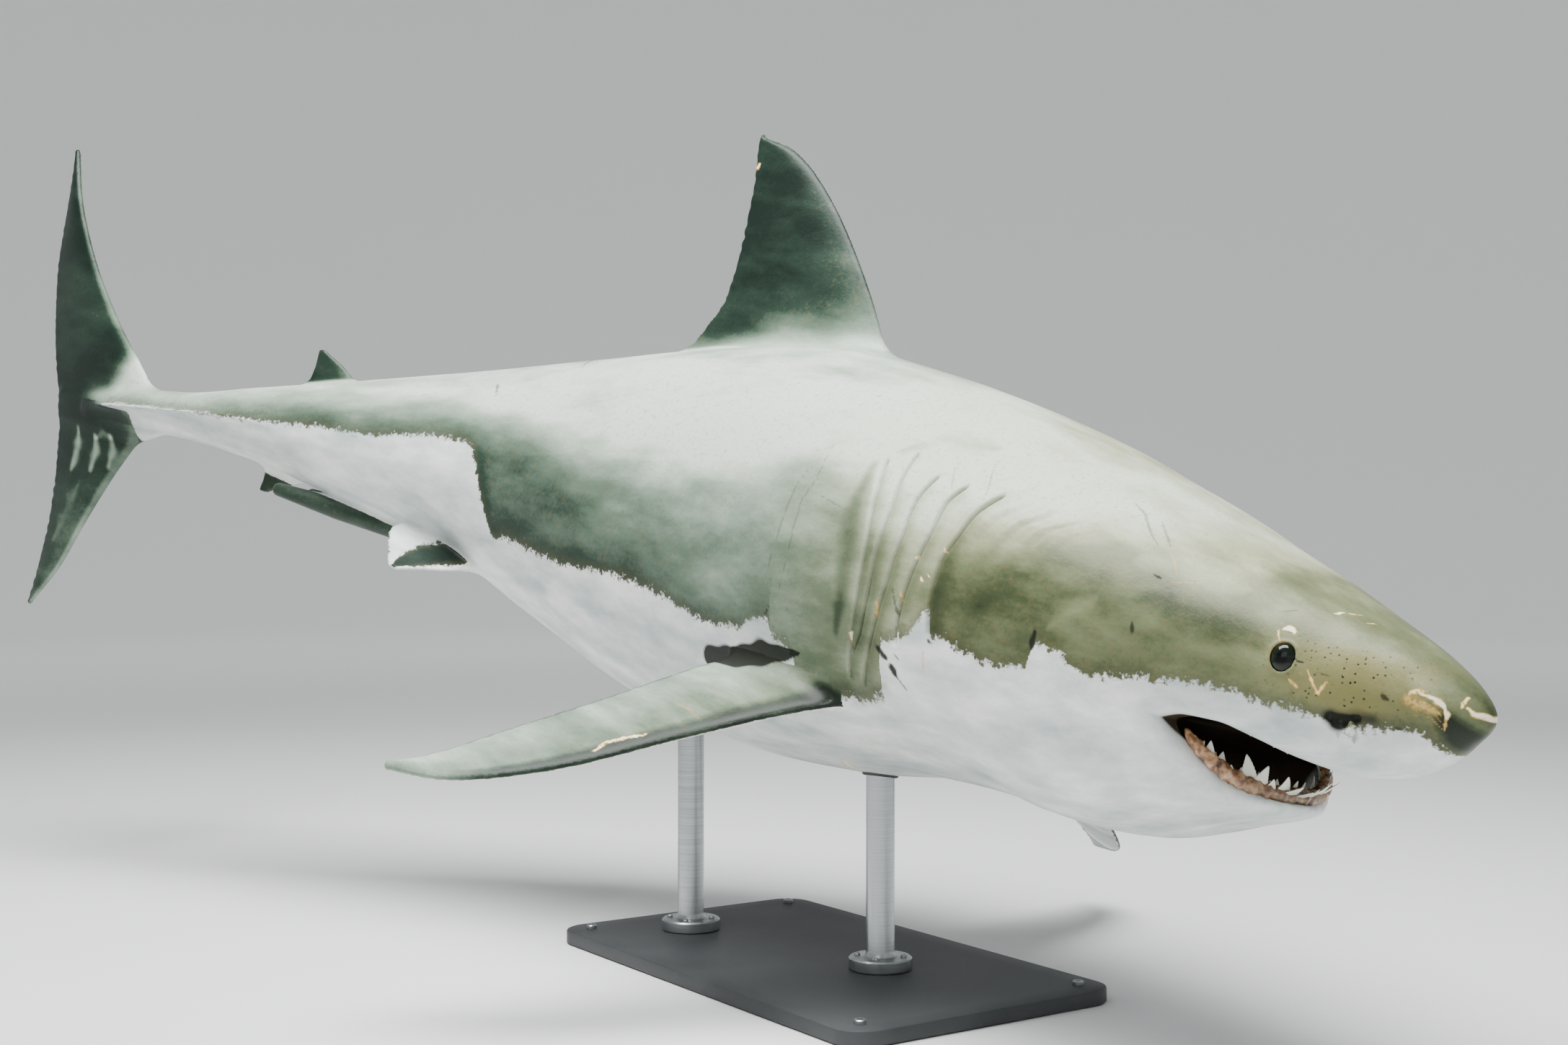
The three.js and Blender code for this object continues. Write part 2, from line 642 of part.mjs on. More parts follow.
const FINISH = {
  skin: { color: 0x7d8578, roughness: 0.5, metalness: 0 },
  belly: { color: 0xdfe3df, roughness: 0.5, metalness: 0 },
  fin: { color: 0x59615a, roughness: 0.55, metalness: 0 },
  gum: { color: 0xb3705f, roughness: 0.35, metalness: 0 },
  eye: { color: 0x101214, roughness: 0.08, metalness: 0 },
  steel: { color: 0x9a9da0, roughness: 0.35, metalness: 1 },
  base: { color: 0x2c2e30, roughness: 0.5, metalness: 0 },
};

/** The whole body, straight, with mouth, eye sockets and gill slits cut in. */
function carvedBody() {
  let solid = trunkLoft().add(jawLoft()).add(keel());
  solid = solid.subtract(gape()).subtract(mouthHollow());
  for (const isUpper of [true, false]) solid = solid.subtract(gumRidge(isUpper, SEAM / PERCENT));
  for (const side of [-1, 1]) {
    solid = solid.subtract(eyeball(side, SEAM));
    for (const slit of GILL_SLITS) solid = solid.subtract(gillSlit(slit, side));
  }
  return solid;
}

const grown = SEAM / PERCENT;
const bodyGrown = posed(trunkLoft(grown).add(jawLoft(grown)).add(keel(grown)));
const body = posed(carvedBody());
const behind = (station, shift = 0) => posed(spaceBehind(station, shift), station);

/** The stretch of a solid between two stations, with half a seam left free at each end. */
function stretch(solid, from, to) {
  const tailward = from === null ? solid : solid.intersect(behind(from, SEAM / 2));
  return to === null ? tailward : tailward.subtract(behind(to, -SEAM / 2));
}

const headWithJaw = stretch(body, null, CUTS.gills);
addMesh("head", headWithJaw.subtract(posed(jawSpace(SEAM), 0)), FINISH.skin);
addMesh("lower_jaw", headWithJaw.intersect(posed(jawSpace(), 0)), FINISH.belly);
addMesh("upper_gum_with_teeth", posed(gumWithTeeth(true)), FINISH.gum);
addMesh("lower_gum_with_teeth", posed(gumWithTeeth(false)), FINISH.gum);
addMesh("gill_region", stretch(body, CUTS.gills, CUTS.trunkFront), FINISH.skin);
addMesh("trunk_front", stretch(body, CUTS.trunkFront, CUTS.trunkRear), FINISH.skin);
addMesh("trunk_rear", stretch(body, CUTS.trunkRear, CUTS.tailStock), FINISH.skin);
addMesh("tail_stock", stretch(body, CUTS.tailStock, CUTS.tailFin), FINISH.skin);
addMesh("tail_fin", stretch(body.add(posed(upperLobe().add(lowerLobe()))), CUTS.tailFin, null), FINISH.fin);

const onBack = { first_dorsal_fin: firstDorsal, second_dorsal_fin: secondDorsal, anal_fin: analFin };
for (const [name, build] of Object.entries(onBack)) {
  addMesh(name, posed(build()).subtract(bodyGrown), FINISH.fin);
}

for (const [side, label] of [[1, "left"], [-1, "right"]]) {
  addMesh(`eye_${label}`, posed(eyeball(side)), FINISH.eye);
  addMesh(`pectoral_fin_${label}`, posed(pectoral(side), PECTORAL_STATION).subtract(bodyGrown), FINISH.fin);
  addMesh(`pelvic_fin_${label}`, posed(pelvic(side)).subtract(bodyGrown), FINISH.fin);
  addMesh(`clasper_${label}`, posed(clasper(side)).subtract(bodyGrown), FINISH.belly);
}

/** The flat base plate with rounded corners, its underside on the floor. */
function standBase() {
  const [x, y, r] = [BASE.length / 2, BASE.width / 2, BASE.corner];
  const outline = new THREE.Shape();
  outline.absarc(x - r, y - r, r, 0, Math.PI / 2);
  outline.absarc(r - x, y - r, r, Math.PI / 2, Math.PI);
  outline.absarc(r - x, r - y, r, Math.PI, 1.5 * Math.PI);
  outline.absarc(x - r, r - y, r, 1.5 * Math.PI, 2 * Math.PI);
  const settings = { depth: BASE.thickness, bevelEnabled: false, curveSegments: 6 };
  return solidOf(new THREE.ExtrudeGeometry(outline, settings));
}

/** An upright rod with a collar on the base, cut to the belly at one station of the spine. */
function standRod(station) {
  const belly = new THREE.Vector3(station, 0, trunkAt(station).bottom).multiplyScalar(PERCENT);
  const { x, y, z } = poseFrom(belly, station);
  const [foot, top] = [BASE.thickness + SEAM, z + ROD.reach];
  const profile = [
    [0, foot],
    [ROD.collarRadius, foot],
    [ROD.collarRadius, foot + ROD.collarHeight],
    [ROD.radius, foot + ROD.collarHeight],
    [ROD.radius, top],
    [0, top],
  ];
  const rod = new THREE.LatheGeometry(profile.map(([r, h]) => new THREE.Vector2(r, h)), 24);
  rod.rotateX(Math.PI / 2);
  rod.translate(x, y, 0);
  return solidOf(rod).subtract(bodyGrown);
}

addMesh("stand_base", standBase(), FINISH.base);
for (const [label, station] of Object.entries(ROD_STATIONS)) {
  addMesh(`stand_rod_${label}`, standRod(station), FINISH.steel);
}

export default shark;
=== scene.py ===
"""Great white shark, an adult male 4.2 m long: the looks of a life-size still model on its stand.

The body is shaped straight first. A point is (s, y, z): s runs back from the snout tip, y is to the
shark's left and z is up, all in percent of the total length. Spine bends that body and lifts it.
"""

import logging
import math
from concurrent.futures import ThreadPoolExecutor
from dataclasses import dataclass, field
from enum import Enum, IntEnum
from itertools import product
from typing import Callable, Iterable, NamedTuple, Sequence

import bmesh
import bpy
import numpy as np
from mathutils import Matrix, Vector


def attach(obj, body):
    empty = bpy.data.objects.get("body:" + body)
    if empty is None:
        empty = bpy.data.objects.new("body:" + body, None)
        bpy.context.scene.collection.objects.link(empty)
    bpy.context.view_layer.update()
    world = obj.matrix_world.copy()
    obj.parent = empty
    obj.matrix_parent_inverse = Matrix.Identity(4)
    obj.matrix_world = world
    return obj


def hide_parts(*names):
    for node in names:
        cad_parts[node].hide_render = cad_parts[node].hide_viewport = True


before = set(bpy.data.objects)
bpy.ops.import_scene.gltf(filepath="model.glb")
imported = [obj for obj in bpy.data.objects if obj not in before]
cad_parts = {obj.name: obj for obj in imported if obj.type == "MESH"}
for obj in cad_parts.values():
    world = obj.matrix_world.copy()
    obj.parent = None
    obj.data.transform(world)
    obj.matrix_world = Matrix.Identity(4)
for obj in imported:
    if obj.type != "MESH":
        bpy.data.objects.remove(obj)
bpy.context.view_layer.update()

LOG = logging.getLogger("shark")

PERCENT = 0.042  # metres; one percent of the total length
MM = 0.1 / 4.2  # percent; one millimetre
ROOT = "root"  # the one body that every piece rides on
WORKERS = 4

Array = np.ndarray
Knots = Sequence[Sequence[float]]
Reach = tuple[float, float]  # the stretch of s that a part can touch
Distance = Callable[[Array, Array, Array], Array]  # at (s, y, z) in percent, negative inside
Piece = bpy.types.Object
Material = bpy.types.Material
Node = bpy.types.Node
Link = Node | bpy.types.NodeSocket


class Side(IntEnum):
    """Which side of the body, as the sign of y."""

    LEFT = 1
    RIGHT = -1


# ---- Smooth curves and blends ----


class Curve:
    """A smooth curve through knots that never overshoots them, kept as a fine table."""

    SAMPLES = 4096

    def __init__(self, knots: Knots) -> None:
        """Samples the monotone cubic through the knots.

        Args:
            knots: (x, value) pairs with x increasing.
        """
        x, value = np.array(knots, float).T[:2]
        slope = np.diff(value) / np.diff(x)
        turns = slope[:-1] * slope[1:]
        total = np.where(turns > 0, slope[:-1] + slope[1:], 1)
        inner = np.where(turns > 0, 2 * turns / total, 0)
        tangent = np.concatenate([slope[:1], inner, slope[-1:]])
        at = np.linspace(x[0], x[-1], self.SAMPLES)
        i = np.clip(np.searchsorted(x, at, "right") - 1, 0, len(x) - 2)
        width = x[i + 1] - x[i]
        t = (at - x[i]) / width
        self.values = (
            (1 + 2 * t) * (1 - t) ** 2 * value[i]
            + t * (1 - t) ** 2 * width * tangent[i]
            + t * t * (3 - 2 * t) * value[i + 1]
            + t * t * (t - 1) * width * tangent[i + 1]
        ).astype(np.float32)
        self.low, self.high = float(x[0]), float(x[-1])
        self.scale = (self.SAMPLES - 1) / (self.high - self.low)
        slopes = np.gradient(self.values) * self.scale
        self.leans = (1 / np.sqrt(1 + slopes**2)).astype(np.float32)

    def place(self, at: Array) -> tuple[Array, Array]:
        """The table row before each position, and how far it lies towards the next one.

        Args:
            at: positions along the curve.

        Returns:
            Row numbers, and shares from 0 to 1.
        """
        place = np.clip((at - self.low) * self.scale, 0, self.SAMPLES - 1.001)
        row = place.astype(np.int32)
        return row, place - row

    def __call__(self, at: Array) -> Array:
        """The curve's value at each position; its end values hold beyond its ends."""
        row, part = self.place(at)
        return self.values[row] * (1 - part) + self.values[row + 1] * part

    def lean(self, at: Array) -> Array:
        """The cosine of the slope, which turns a distance along the value into one square to it."""
        return self.leans[self.place(at)[0]]


def smooth_step(value: Array, low: float, high: float) -> Array:
    """Rises smoothly from 0 at low to 1 at high; low may be the greater."""
    t = np.clip((value - low) / (high - low), 0, 1)
    return t * t * (3 - 2 * t)


def bump(value: Array, width: float) -> Array:
    """A rounded bump of height 1 round zero, about two widths across."""
    return np.exp(-((value / width) ** 2))


def join(a: Array, b: Array, blend: float) -> Array:
    """Joins two distance fields, with a fillet as wide as the blend."""
    h = np.maximum(blend - np.abs(a - b), 0) / blend
    return np.minimum(a, b) - h * h * blend / 4


def carve(a: Array, b: Array, blend: float) -> Array:
    """Cuts field b out of field a, and rounds the rim."""
    return -join(-a, b, blend)


def ripple(a: Array, b: Array, seed: float) -> Array:
    """A cheap wavy noise from -1 to 1 over two coordinates, which repeats only after many waves.

    Args:
        a, b: the coordinates.
        seed: shifts the waves.

    Returns:
        The noise at each pair.
    """
    return (
        np.sin(a * 1.0 + b * 0.73 + seed)
        + np.sin(a * 1.93 - b * 1.31 + 2.3 * seed + 1.1)
        + np.sin(a * 0.37 + b * 2.41 - seed + 0.4)
    ) / 3


# ---- Solids of the straight body ----


@dataclass
class Loft:
    """A body of rounded cross-sections.

    Each station is s, top, bottom, half width, level of the widest point, and roundness below it.
    """

    stations: Knots
    crown: float = 2.0  # roundness above the widest point
    reach: Reach = (0, 100)
    blend: float = 1.0  # width of the fillet where it joins the trunk

    LEAST = 0.003  # nearest s to the blunt tip at which a section is taken
    THINNEST = 0.01  # least half width or rise of a section
    STEP = 0.03  # along s, to find how the sections grow
    STEEPEST = 3.0  # growth taken into account
    TINY = 1e-6

    def __post_init__(self) -> None:
        """Fits a curve to each column over the root of s, which keeps a snout blunt."""
        self.start, self.end = self.stations[0][0], self.stations[-1][0]
        roots = [math.sqrt(row[0] - self.start) for row in self.stations]
        self.columns = [Curve(list(zip(roots, column))) for column in list(zip(*self.stations))[1:]]

    def section(self, s: Array) -> list[Array]:
        """Top, bottom, half width, level and roundness at each s."""
        root = np.sqrt(np.clip(s - self.start, self.LEAST, self.end - self.start))
        return [column(root) for column in self.columns]

    def across(self, s: Array, y: Array, z: Array) -> Array:
        """Distance from the surface within one cross-section.

        Args:
            s, y, z: the points.

        Returns:
            The distance in percent, negative inside.
        """
        top, bottom, half, level, roundness = self.section(s)
        above = z > level
        rise = np.maximum(np.where(above, top - level, level - bottom), self.THINNEST)
        power = np.where(above, self.crown, roundness)
        half = np.maximum(half, self.THINNEST)
        u = np.abs(y) / half + self.TINY
        v = np.abs(z - level) / rise + self.TINY
        gauge = (u**power + v**power) ** (1 / power)
        steep = np.hypot((u / gauge) ** (power - 1) / half, (v / gauge) ** (power - 1) / rise)
        box = np.maximum(np.abs(y) - half, np.maximum(z - top, bottom - z))
        return np.maximum((gauge - 1) / steep, box)

    def distance(self, s: Array, y: Array, z: Array) -> Array:
        """Distance from the surface; see across.

        Args:
            s, y, z: the points.

        Returns:
            The distance in percent, negative inside.
        """
        here = self.across(s, y, z)
        growth = (self.across(s + self.STEP, y, z) - here) / self.STEP
        slope = np.clip(growth, -self.STEEPEST, self.STEEPEST)
        flat = here / np.sqrt(1 + slope * slope)
        beyond = np.maximum(np.maximum(self.start - s, s - self.end), 0)
        return np.where(beyond > 0, np.hypot(np.maximum(flat, 0), beyond), flat)

    def flank(self, s: Array, z: Array) -> Array:
        """Half width at a station and level.

        Args:
            s, z: the stations and levels.

        Returns:
            The half width in percent.
        """
        top, bottom, half, level, roundness = self.section(np.asarray(s, np.float32))
        above = z > level
        rise = np.where(above, top - level, level - bottom)
        power = np.where(above, self.crown, roundness)
        part = np.clip(np.abs(z - level) / rise, 0, 1)
        return half * (1 - part**power) ** (1 / power)


def reach_of(knots: Knots, margin: float = 2.0) -> Reach:
    """The stretch of body that a part with these knots can touch."""
    return min(knot[0] for knot in knots) - margin, max(knot[0] for knot in knots) + margin


class Spread(Enum):
    """Which way a fin reaches away from the body: its axis in (s, y, z), and its sign."""

    UP = (2, 1)
    DOWN = (2, -1)
    LEFT = (1, 1)
    RIGHT = (1, -1)


class Chart(NamedTuple):
    """Coordinates on a fin."""

    span: Array  # from 0 at the root to 1 at the tip
    chord: Array  # from 0 at the leading edge to 1 at the trailing edge
    off: Array  # signed distance from the middle plane
    out: Array  # distance beyond the outline


@dataclass
class Fin:
    """A fin between a leading and a trailing edge, each given as (s, y, z) knots, root to tip."""

    leading: Knots
    trailing: Knots
    thickness: float
    spread: Spread
    blend: float = 1.0  # width of the fillet at its root
    fray: float = 0.0  # how ragged the trailing edge is
    tilt: float = 1.0  # cosine of the fin's slope from level, for a fin that spreads sideways

    EDGE = 0.06  # half thickness of the thin edges
    TAPER = 0.75  # how much thinner the tip is than the root
    ROUND = 1.5  # fullness of the section towards its front
    BLUNT = 0.1  # and over its whole chord

    def __post_init__(self) -> None:
        """Fits curves to the edges over the span."""
        self.axis, self.sign = self.spread.value
        edges = (self.leading, self.trailing)
        spans = [[self.sign * knot[self.axis] for knot in edge] for edge in edges]
        (self.front, self.back), (self.front_level, self.back_level) = [
            [Curve([(h, knot[k]) for h, knot in zip(span, edge)]) for span, edge in zip(spans, edges)]
            for k in (0, 3 - self.axis)
        ]
        self.root, self.tip = min(span[0] for span in spans), max(span[-1] for span in spans)
        self.reach = reach_of([*self.leading, *self.trailing])

    def chart(self, s: Array, y: Array, z: Array) -> Chart:
        """Coordinates on the fin.

        Args:
            s, y, z: the points.

        Returns:
            Where each point lies on the fin.
        """
        side = (y, z) if self.axis == 1 else (z, y)
        span = self.sign * side[0]
        h = np.clip(span, self.root, self.tip)
        front, back = self.front(h), self.back(h)
        if self.fray:
            back = back + self.fray * ripple(h * 7.0, h * 2.1, self.tip)
        chord = np.clip((s - front) / (back - front), 0, 1)
        plane = self.front_level(h) * (1 - chord) + self.back_level(h) * chord
        ahead = (front - s) * self.front.lean(h)
        behind = (s - back) * self.back.lean(h)
        past = np.maximum(np.maximum(span - self.tip, self.root - span), 0)
        out = np.hypot(np.maximum(np.maximum(ahead, behind), 0), past)
        return Chart((h - self.root) / (self.tip - self.root), chord, (side[1] - plane) * self.tilt, out)

    def distance(self, s: Array, y: Array, z: Array) -> Array:
        """Distance from the fin's surface.

        Args:
            s, y, z: the points.

        Returns:
            The distance in percent, negative inside.
        """
        span, chord, off, out = self.chart(s, y, z)
        section = self.ROUND * np.sqrt(chord) * (1 - chord) + self.BLUNT * np.sin(np.pi * chord)
        return np.hypot(off, out) - self.thickness * (1 - self.TAPER * span) * section - self.EDGE


@dataclass
class Chain:
    """A soft tube through (s, y, z, radius) knots."""

    knots: Knots
    blend: float = 0.5

    def __post_init__(self) -> None:
        """Finds the stretch of body that the tube can touch."""
        self.reach = reach_of(self.knots)

    def distance(self, s: Array, y: Array, z: Array) -> Array:
        """Distance from the tube's surface.

        Args:
            s, y, z: the points.

        Returns:
            The distance in percent, negative inside.
        """
        found = []
        for (s0, y0, z0, r0), (s1, y1, z1, r1) in zip(self.knots, self.knots[1:]):
            along = (s1 - s0, y1 - y0, z1 - z0)
            away = (s - s0, y - y0, z - z0)
            t = sum(a * b for a, b in zip(away, along)) / sum(c * c for c in along)
            t = np.clip(t, 0, 1)
            gap = np.sqrt(sum((a - t * b) ** 2 for a, b in zip(away, along)))
            found.append(gap - (r0 + (r1 - r0) * t))
        return np.min(found, axis=0)


# ---- The straight body ----

TRUNK = Loft(
    [
        (0, 0, 0, 0, 0, 2), (0.6, 0.8, -0.95, 0.85, 0, 2), (1.5, 1.38, -1.8, 1.55, 0, 2.1),
        (3, 2.08, -2.6, 2.5, 0, 2.2), (5, 2.84, -3.05, 3.55, 0, 2.4), (8, 3.94, -3.2, 4.75, 0, 2.6),
        (10.4, 4.74, -4.8, 5.55, 0, 2.4), (14, 5.96, -7.3, 6.55, 0, 2.45),
        (17, 6.83, -7.65, 7.2, 0, 2.4), (20, 7.71, -7.65, 7.8, 0, 2.3),
        (26, 9.05, -8.0, 8.6, 0, 2.15), (32, 10.06, -9.05, 8.95, 0, 2.1),
        (38, 10.66, -9.5, 8.75, 0, 2.1), (46, 9.8, -8.7, 7.8, 0.1, 2.1),
        (54, 8.12, -6.4, 6.4, 0.4, 2), (62, 6.12, -3.5, 4.9, 0.9, 2), (70, 4.15, -2.2, 3.4, 1.1, 2),
        (76, 2.8, -1.3, 2.3, 0.8, 2), (81, 1.75, -1.05, 1.6, 0.4, 2), (85, 1.33, -1.1, 1.2, 0.1, 2),
        (89.5, 0.5, -0.7, 0.3, -0.1, 2),
    ],
)
JAW = Loft(
    [
        (7.25, -4.72, -4.72, 0, -4.72, 2), (7.55, -4.3, -5.1, 1.5, -4.7, 2.2),
        (8.2, -4.0, -5.35, 2.7, -4.65, 2.4), (8.9, -3.5, -5.6, 3.55, -4.5, 2.4),
        (9.6, -2.95, -5.85, 4.25, -4.3, 2.4), (10.4, -2.4, -6.15, 4.8, -4.0, 2.4),
        (12, -1.9, -6.75, 5.4, -3.8, 2.4), (15, -1.4, -7.3, 6.1, -3.3, 2.3),
        (18, -1.6, -7.3, 6.3, -3.2, 2.3), (21, -3.5, -5.0, 0, -4, 2.3),
    ],
    reach=(5, 23),
    blend=1.0,
)
KEEL = Loft(
    [
        (71, 1.38, 0.82, 2.6, 1.1, 1.5), (76, 1.1, 0.5, 2.75, 0.8, 1.5),
        (82, 0.55, -0.05, 2.6, 0.25, 1.5), (86, 0.2, -0.26, 2.0, -0.05, 1.5),
        (90, -0.15, -0.45, 0.4, -0.3, 1.5),
    ],
    crown=1.5,
    reach=(69, 92),
    blend=0.5,
)

FIRST_DORSAL = Fin(
    leading=[
        (36.2, 0, 9.6), (37.2, 0, 11.5), (40, 0, 15.4), (42.9, 0, 18.6), (45.5, 0, 20.5),
        (47.4, 0, 21),
    ],
    trailing=[
        (49.3, 0, 9), (48.5, 0, 10.5), (47.5, 0, 12.5), (47.25, 0, 15.5), (47.3, 0, 18),
        (47.6, 0, 20.7),
    ],
    thickness=0.95,
    spread=Spread.UP,
    blend=1.0,
    fray=0.05,
)
SECOND_DORSAL = Fin(
    leading=[(69.3, 0, 3.9), (70.6, 0, 4.9), (72, 0, 5.6)],
    trailing=[(73, 0, 3), (72.5, 0, 4.3), (72.4, 0, 5.5)],
    thickness=0.28,
    spread=Spread.UP,
    blend=0.5,
)
ANAL_FIN = Fin(
    leading=[(71.3, 0, -1.5), (72.5, 0, -2.3), (73.9, 0, -2.9)],
    trailing=[(74.7, 0, -1.1), (74.3, 0, -1.9), (74.4, 0, -2.8)],
    thickness=0.28,
    spread=Spread.DOWN,
    blend=0.5,
)
UPPER_LOBE = Fin(
    leading=[
        (83.8, 0, 0.4), (85.8, 0, 2.2), (89.4, 0, 5), (93.4, 0, 8.7), (96.4, 0, 12.5),
        (97.8, 0, 15.3),
    ],
    trailing=[
        (93, 0, -1.2), (94.6, 0, 1.2), (96.1, 0, 4.6), (97.2, 0, 8.4), (97.6, 0, 12.2),
        (98, 0, 15.2),
    ],
    thickness=0.75,
    spread=Spread.UP,
    blend=0.6,
    fray=0.04,
)
LOWER_LOBE = Fin(
    leading=[
        (83.8, 0, 0), (85.2, 0, -2), (86.7, 0, -4.3), (88.4, 0, -7.4), (90, 0, -10.6),
        (92, 0, -13.1),
    ],
    trailing=[
        (93.3, 0, -0.6), (92.9, 0, -2.6), (92.2, 0, -5.6), (91.9, 0, -8.6), (92, 0, -11),
        (92.2, 0, -13),
    ],
    thickness=0.7,
    spread=Spread.DOWN,
    blend=0.6,
    fray=0.06,
)


def paired(side: Side, leading: Knots, trailing: Knots, **settings: float) -> Fin:
    """A fin on one side, from the edges of the left one."""
    edges = [[(s, side * y, z) for s, y, z in edge] for edge in (leading, trailing)]
    return Fin(*edges, spread=Spread[side.name], **settings)


PECTORALS = {
    side: paired(
        side,
        [
            (25.7, 3.2, -4), (25.9, 5.5, -4.9), (27.7, 8.6, -6.2), (29.4, 12.4, -8),
            (31.7, 17.8, -10.6), (34.2, 21.1, -11.8), (36.5, 22.1, -12),
        ],
        [
            (32.4, 3.2, -2.9), (33.4, 6.6, -4.4), (34.1, 9, -5.5), (34.8, 13.6, -7.8),
            (35.6, 17.6, -9.8), (36.2, 20.6, -11.3), (36.9, 22.1, -11.9),
        ],
        thickness=0.8,
        blend=1.2,
        fray=0.05,
        tilt=0.91,
    )
    for side in Side
}
PELVICS = {
    side: paired(
        side,
        [(56.4, 1.2, -4), (57.2, 3.2, -4.3), (60.2, 6.5, -5)],
        [(61.8, 1.2, -2.6), (62.8, 3.6, -3), (60.9, 6.5, -4.9)],
        thickness=0.35,
        blend=0.7,
        fray=0.07,
        tilt=0.97,
    )
    for side in Side
}
CLASPERS = {  # blunt rods that trail back from the inner edges of the pelvic fins
    side: Chain(
        [
            (60.2, side * 0.9, -3.7, 0.42),
            (64, side * 1.2, -3.25, 0.6),
            (68, side * 1.4, -2.9, 0.6),
            (71.9, side * 1.55, -2.6, 0.38),
        ],
        blend=0.4,
    )
    for side in Side
}


@dataclass
class Mouth:
    """The open gap between the lips and the hollow behind it."""

    corner: float = 10.4  # s
    upper_half: float = 5.0
    lower_half: float = 4.4
    upper_front: float = 6.2  # s of the upper lip at the middle
    lower_front: float = 7.2
    gape_front: float = 4.6
    rim: float = 0.28  # rounding of the lips
    reach: Reach = (3.5, 15)

    def __post_init__(self) -> None:
        """Fits the two lip lines, seen from the side, and the hollow."""
        self.upper = Curve(
            [
                (4.6, -3.4), (5.4, -3.1), (6.3, -2.85), (7.3, -2.5), (8.5, -2.22), (9.5, -2.25),
                (10.4, -2.55),
            ]
        )
        self.lower = Curve(
            [
                (4.6, -4.75), (7.4, -4.65), (7.9, -4.52), (8.4, -4.24), (9.0, -3.8), (9.6, -3.32),
                (10.1, -2.86), (10.4, -2.5),
            ]
        )
        self.hollow = Loft(
            [
                (7.7, -3.3, -3.3, 0, -3.3, 2), (8.2, -1.6, -4.55, 2.0, -3.3, 2),
                (9.0, -1.2, -4.35, 3.1, -3.0, 2), (10.0, -1.35, -3.9, 3.8, -2.7, 2),
                (11.0, -1.7, -3.6, 3.5, -2.7, 2), (12.5, -2.1, -3.3, 2.2, -2.7, 2),
                (13.8, -2.7, -2.7, 0, -2.7, 2),
            ]
        )

    def gape(self, s: Array, z: Array) -> Array:
        """Distance from the gap between the lips, which runs right across the head, at (s, z).

        Args:
            s, z: the points, seen from the side.

        Returns:
            The distance in percent, negative inside.
        """
        above = (z - self.upper(s)) * self.upper.lean(s)
        below = (self.lower(s) - z) * self.lower.lean(s)
        gap = np.maximum(np.maximum(above, below), self.gape_front - s)
        past = np.maximum(s - self.corner, 0)
        return np.where(past > 0, np.hypot(np.maximum(gap, 0), past), gap)


MOUTH = Mouth()


@dataclass
class Orbit:
    """Where the eyes sit: an upright, flattened ball, let into the head on each side."""

    s: float = 6.05
    z: float = 0.5
    width: float = 19.5 * MM  # half of it
    height: float = 23 * MM  # half of it
    depth: float = 13 * MM
    sunk: float = 6.5 * MM
    clearance: float = 0.6 * MM
    edge: float = 3 * MM  # rounding of the socket, and how far out the lid's rim lies
    lid: float = 1.6 * MM  # how far the lid's rim stands up
    lid_width: float = 3.5 * MM
    reach: Reach = (4.5, 8)

    def __post_init__(self) -> None:
        """Finds the ball's centre and which way it faces, on the left side."""
        here_and_ahead = np.array([self.s, self.s - 1])
        flank, ahead = [float(half) for half in TRUNK.flank(here_and_ahead, self.z)]
        self.facing = math.atan2(flank - ahead, 1)
        self.turn = (math.cos(self.facing), math.sin(self.facing))
        cos, sin = self.turn
        self.centre = (self.s + self.sunk * sin, flank - self.sunk * cos, self.z)

    def ball(self, s: Array, y: Array, z: Array) -> Array:
        """Distance from either eyeball, negative inside, at (s, y, z).

        Args:
            s, y, z: the points.

        Returns:
            The distance in percent.
        """
        ds, dy, dz = s - self.centre[0], np.abs(y) - self.centre[1], z - self.centre[2]
        cos, sin = self.turn
        a = (ds * cos + dy * sin) / self.width
        b = (dy * cos - ds * sin) / self.depth
        c = dz / self.height
        gauge = np.sqrt(a * a + b * b + c * c) + 1e-6
        steep = np.sqrt((a / self.width) ** 2 + (b / self.depth) ** 2 + (c / self.height) ** 2) + 1e-6
        return gauge * (gauge - 1) / steep


ORBIT = Orbit()


@dataclass
class Nostril:
    """A slanting slit on each side of the snout, with a small flap that hangs over its front."""

    # s, z and radius
    slit: Knots = ((4.25, -1.1, 0.12), (4.02, -1.2, 0.22), (3.75, -1.13, 0.18), (3.45, -0.95, 0.07))
    flap: Knots = ((3.62, -1.15, 0.08), (3.66, -1.4, 0.14), (3.8, -1.62, 0.12), (3.84, -1.9, 0.05))
    sunk: tuple[float, float] = (0.05, 0.02)
    blend: tuple[float, float] = (0.25, 0.1)
    reach: Reach = (2.2, 5.6)

    def __post_init__(self) -> None:
        """Lays the slit and the flap on the left flank, each sunk into it a little."""
        tubes = []
        for path, sunk in zip((self.slit, self.flap), self.sunk):
            s, z, radii = np.array(path).T
            tubes.append(Chain(list(zip(s, TRUNK.flank(s, z) - sunk, z, radii))))
        self.hole, self.tab = tubes


NOSTRIL = Nostril()


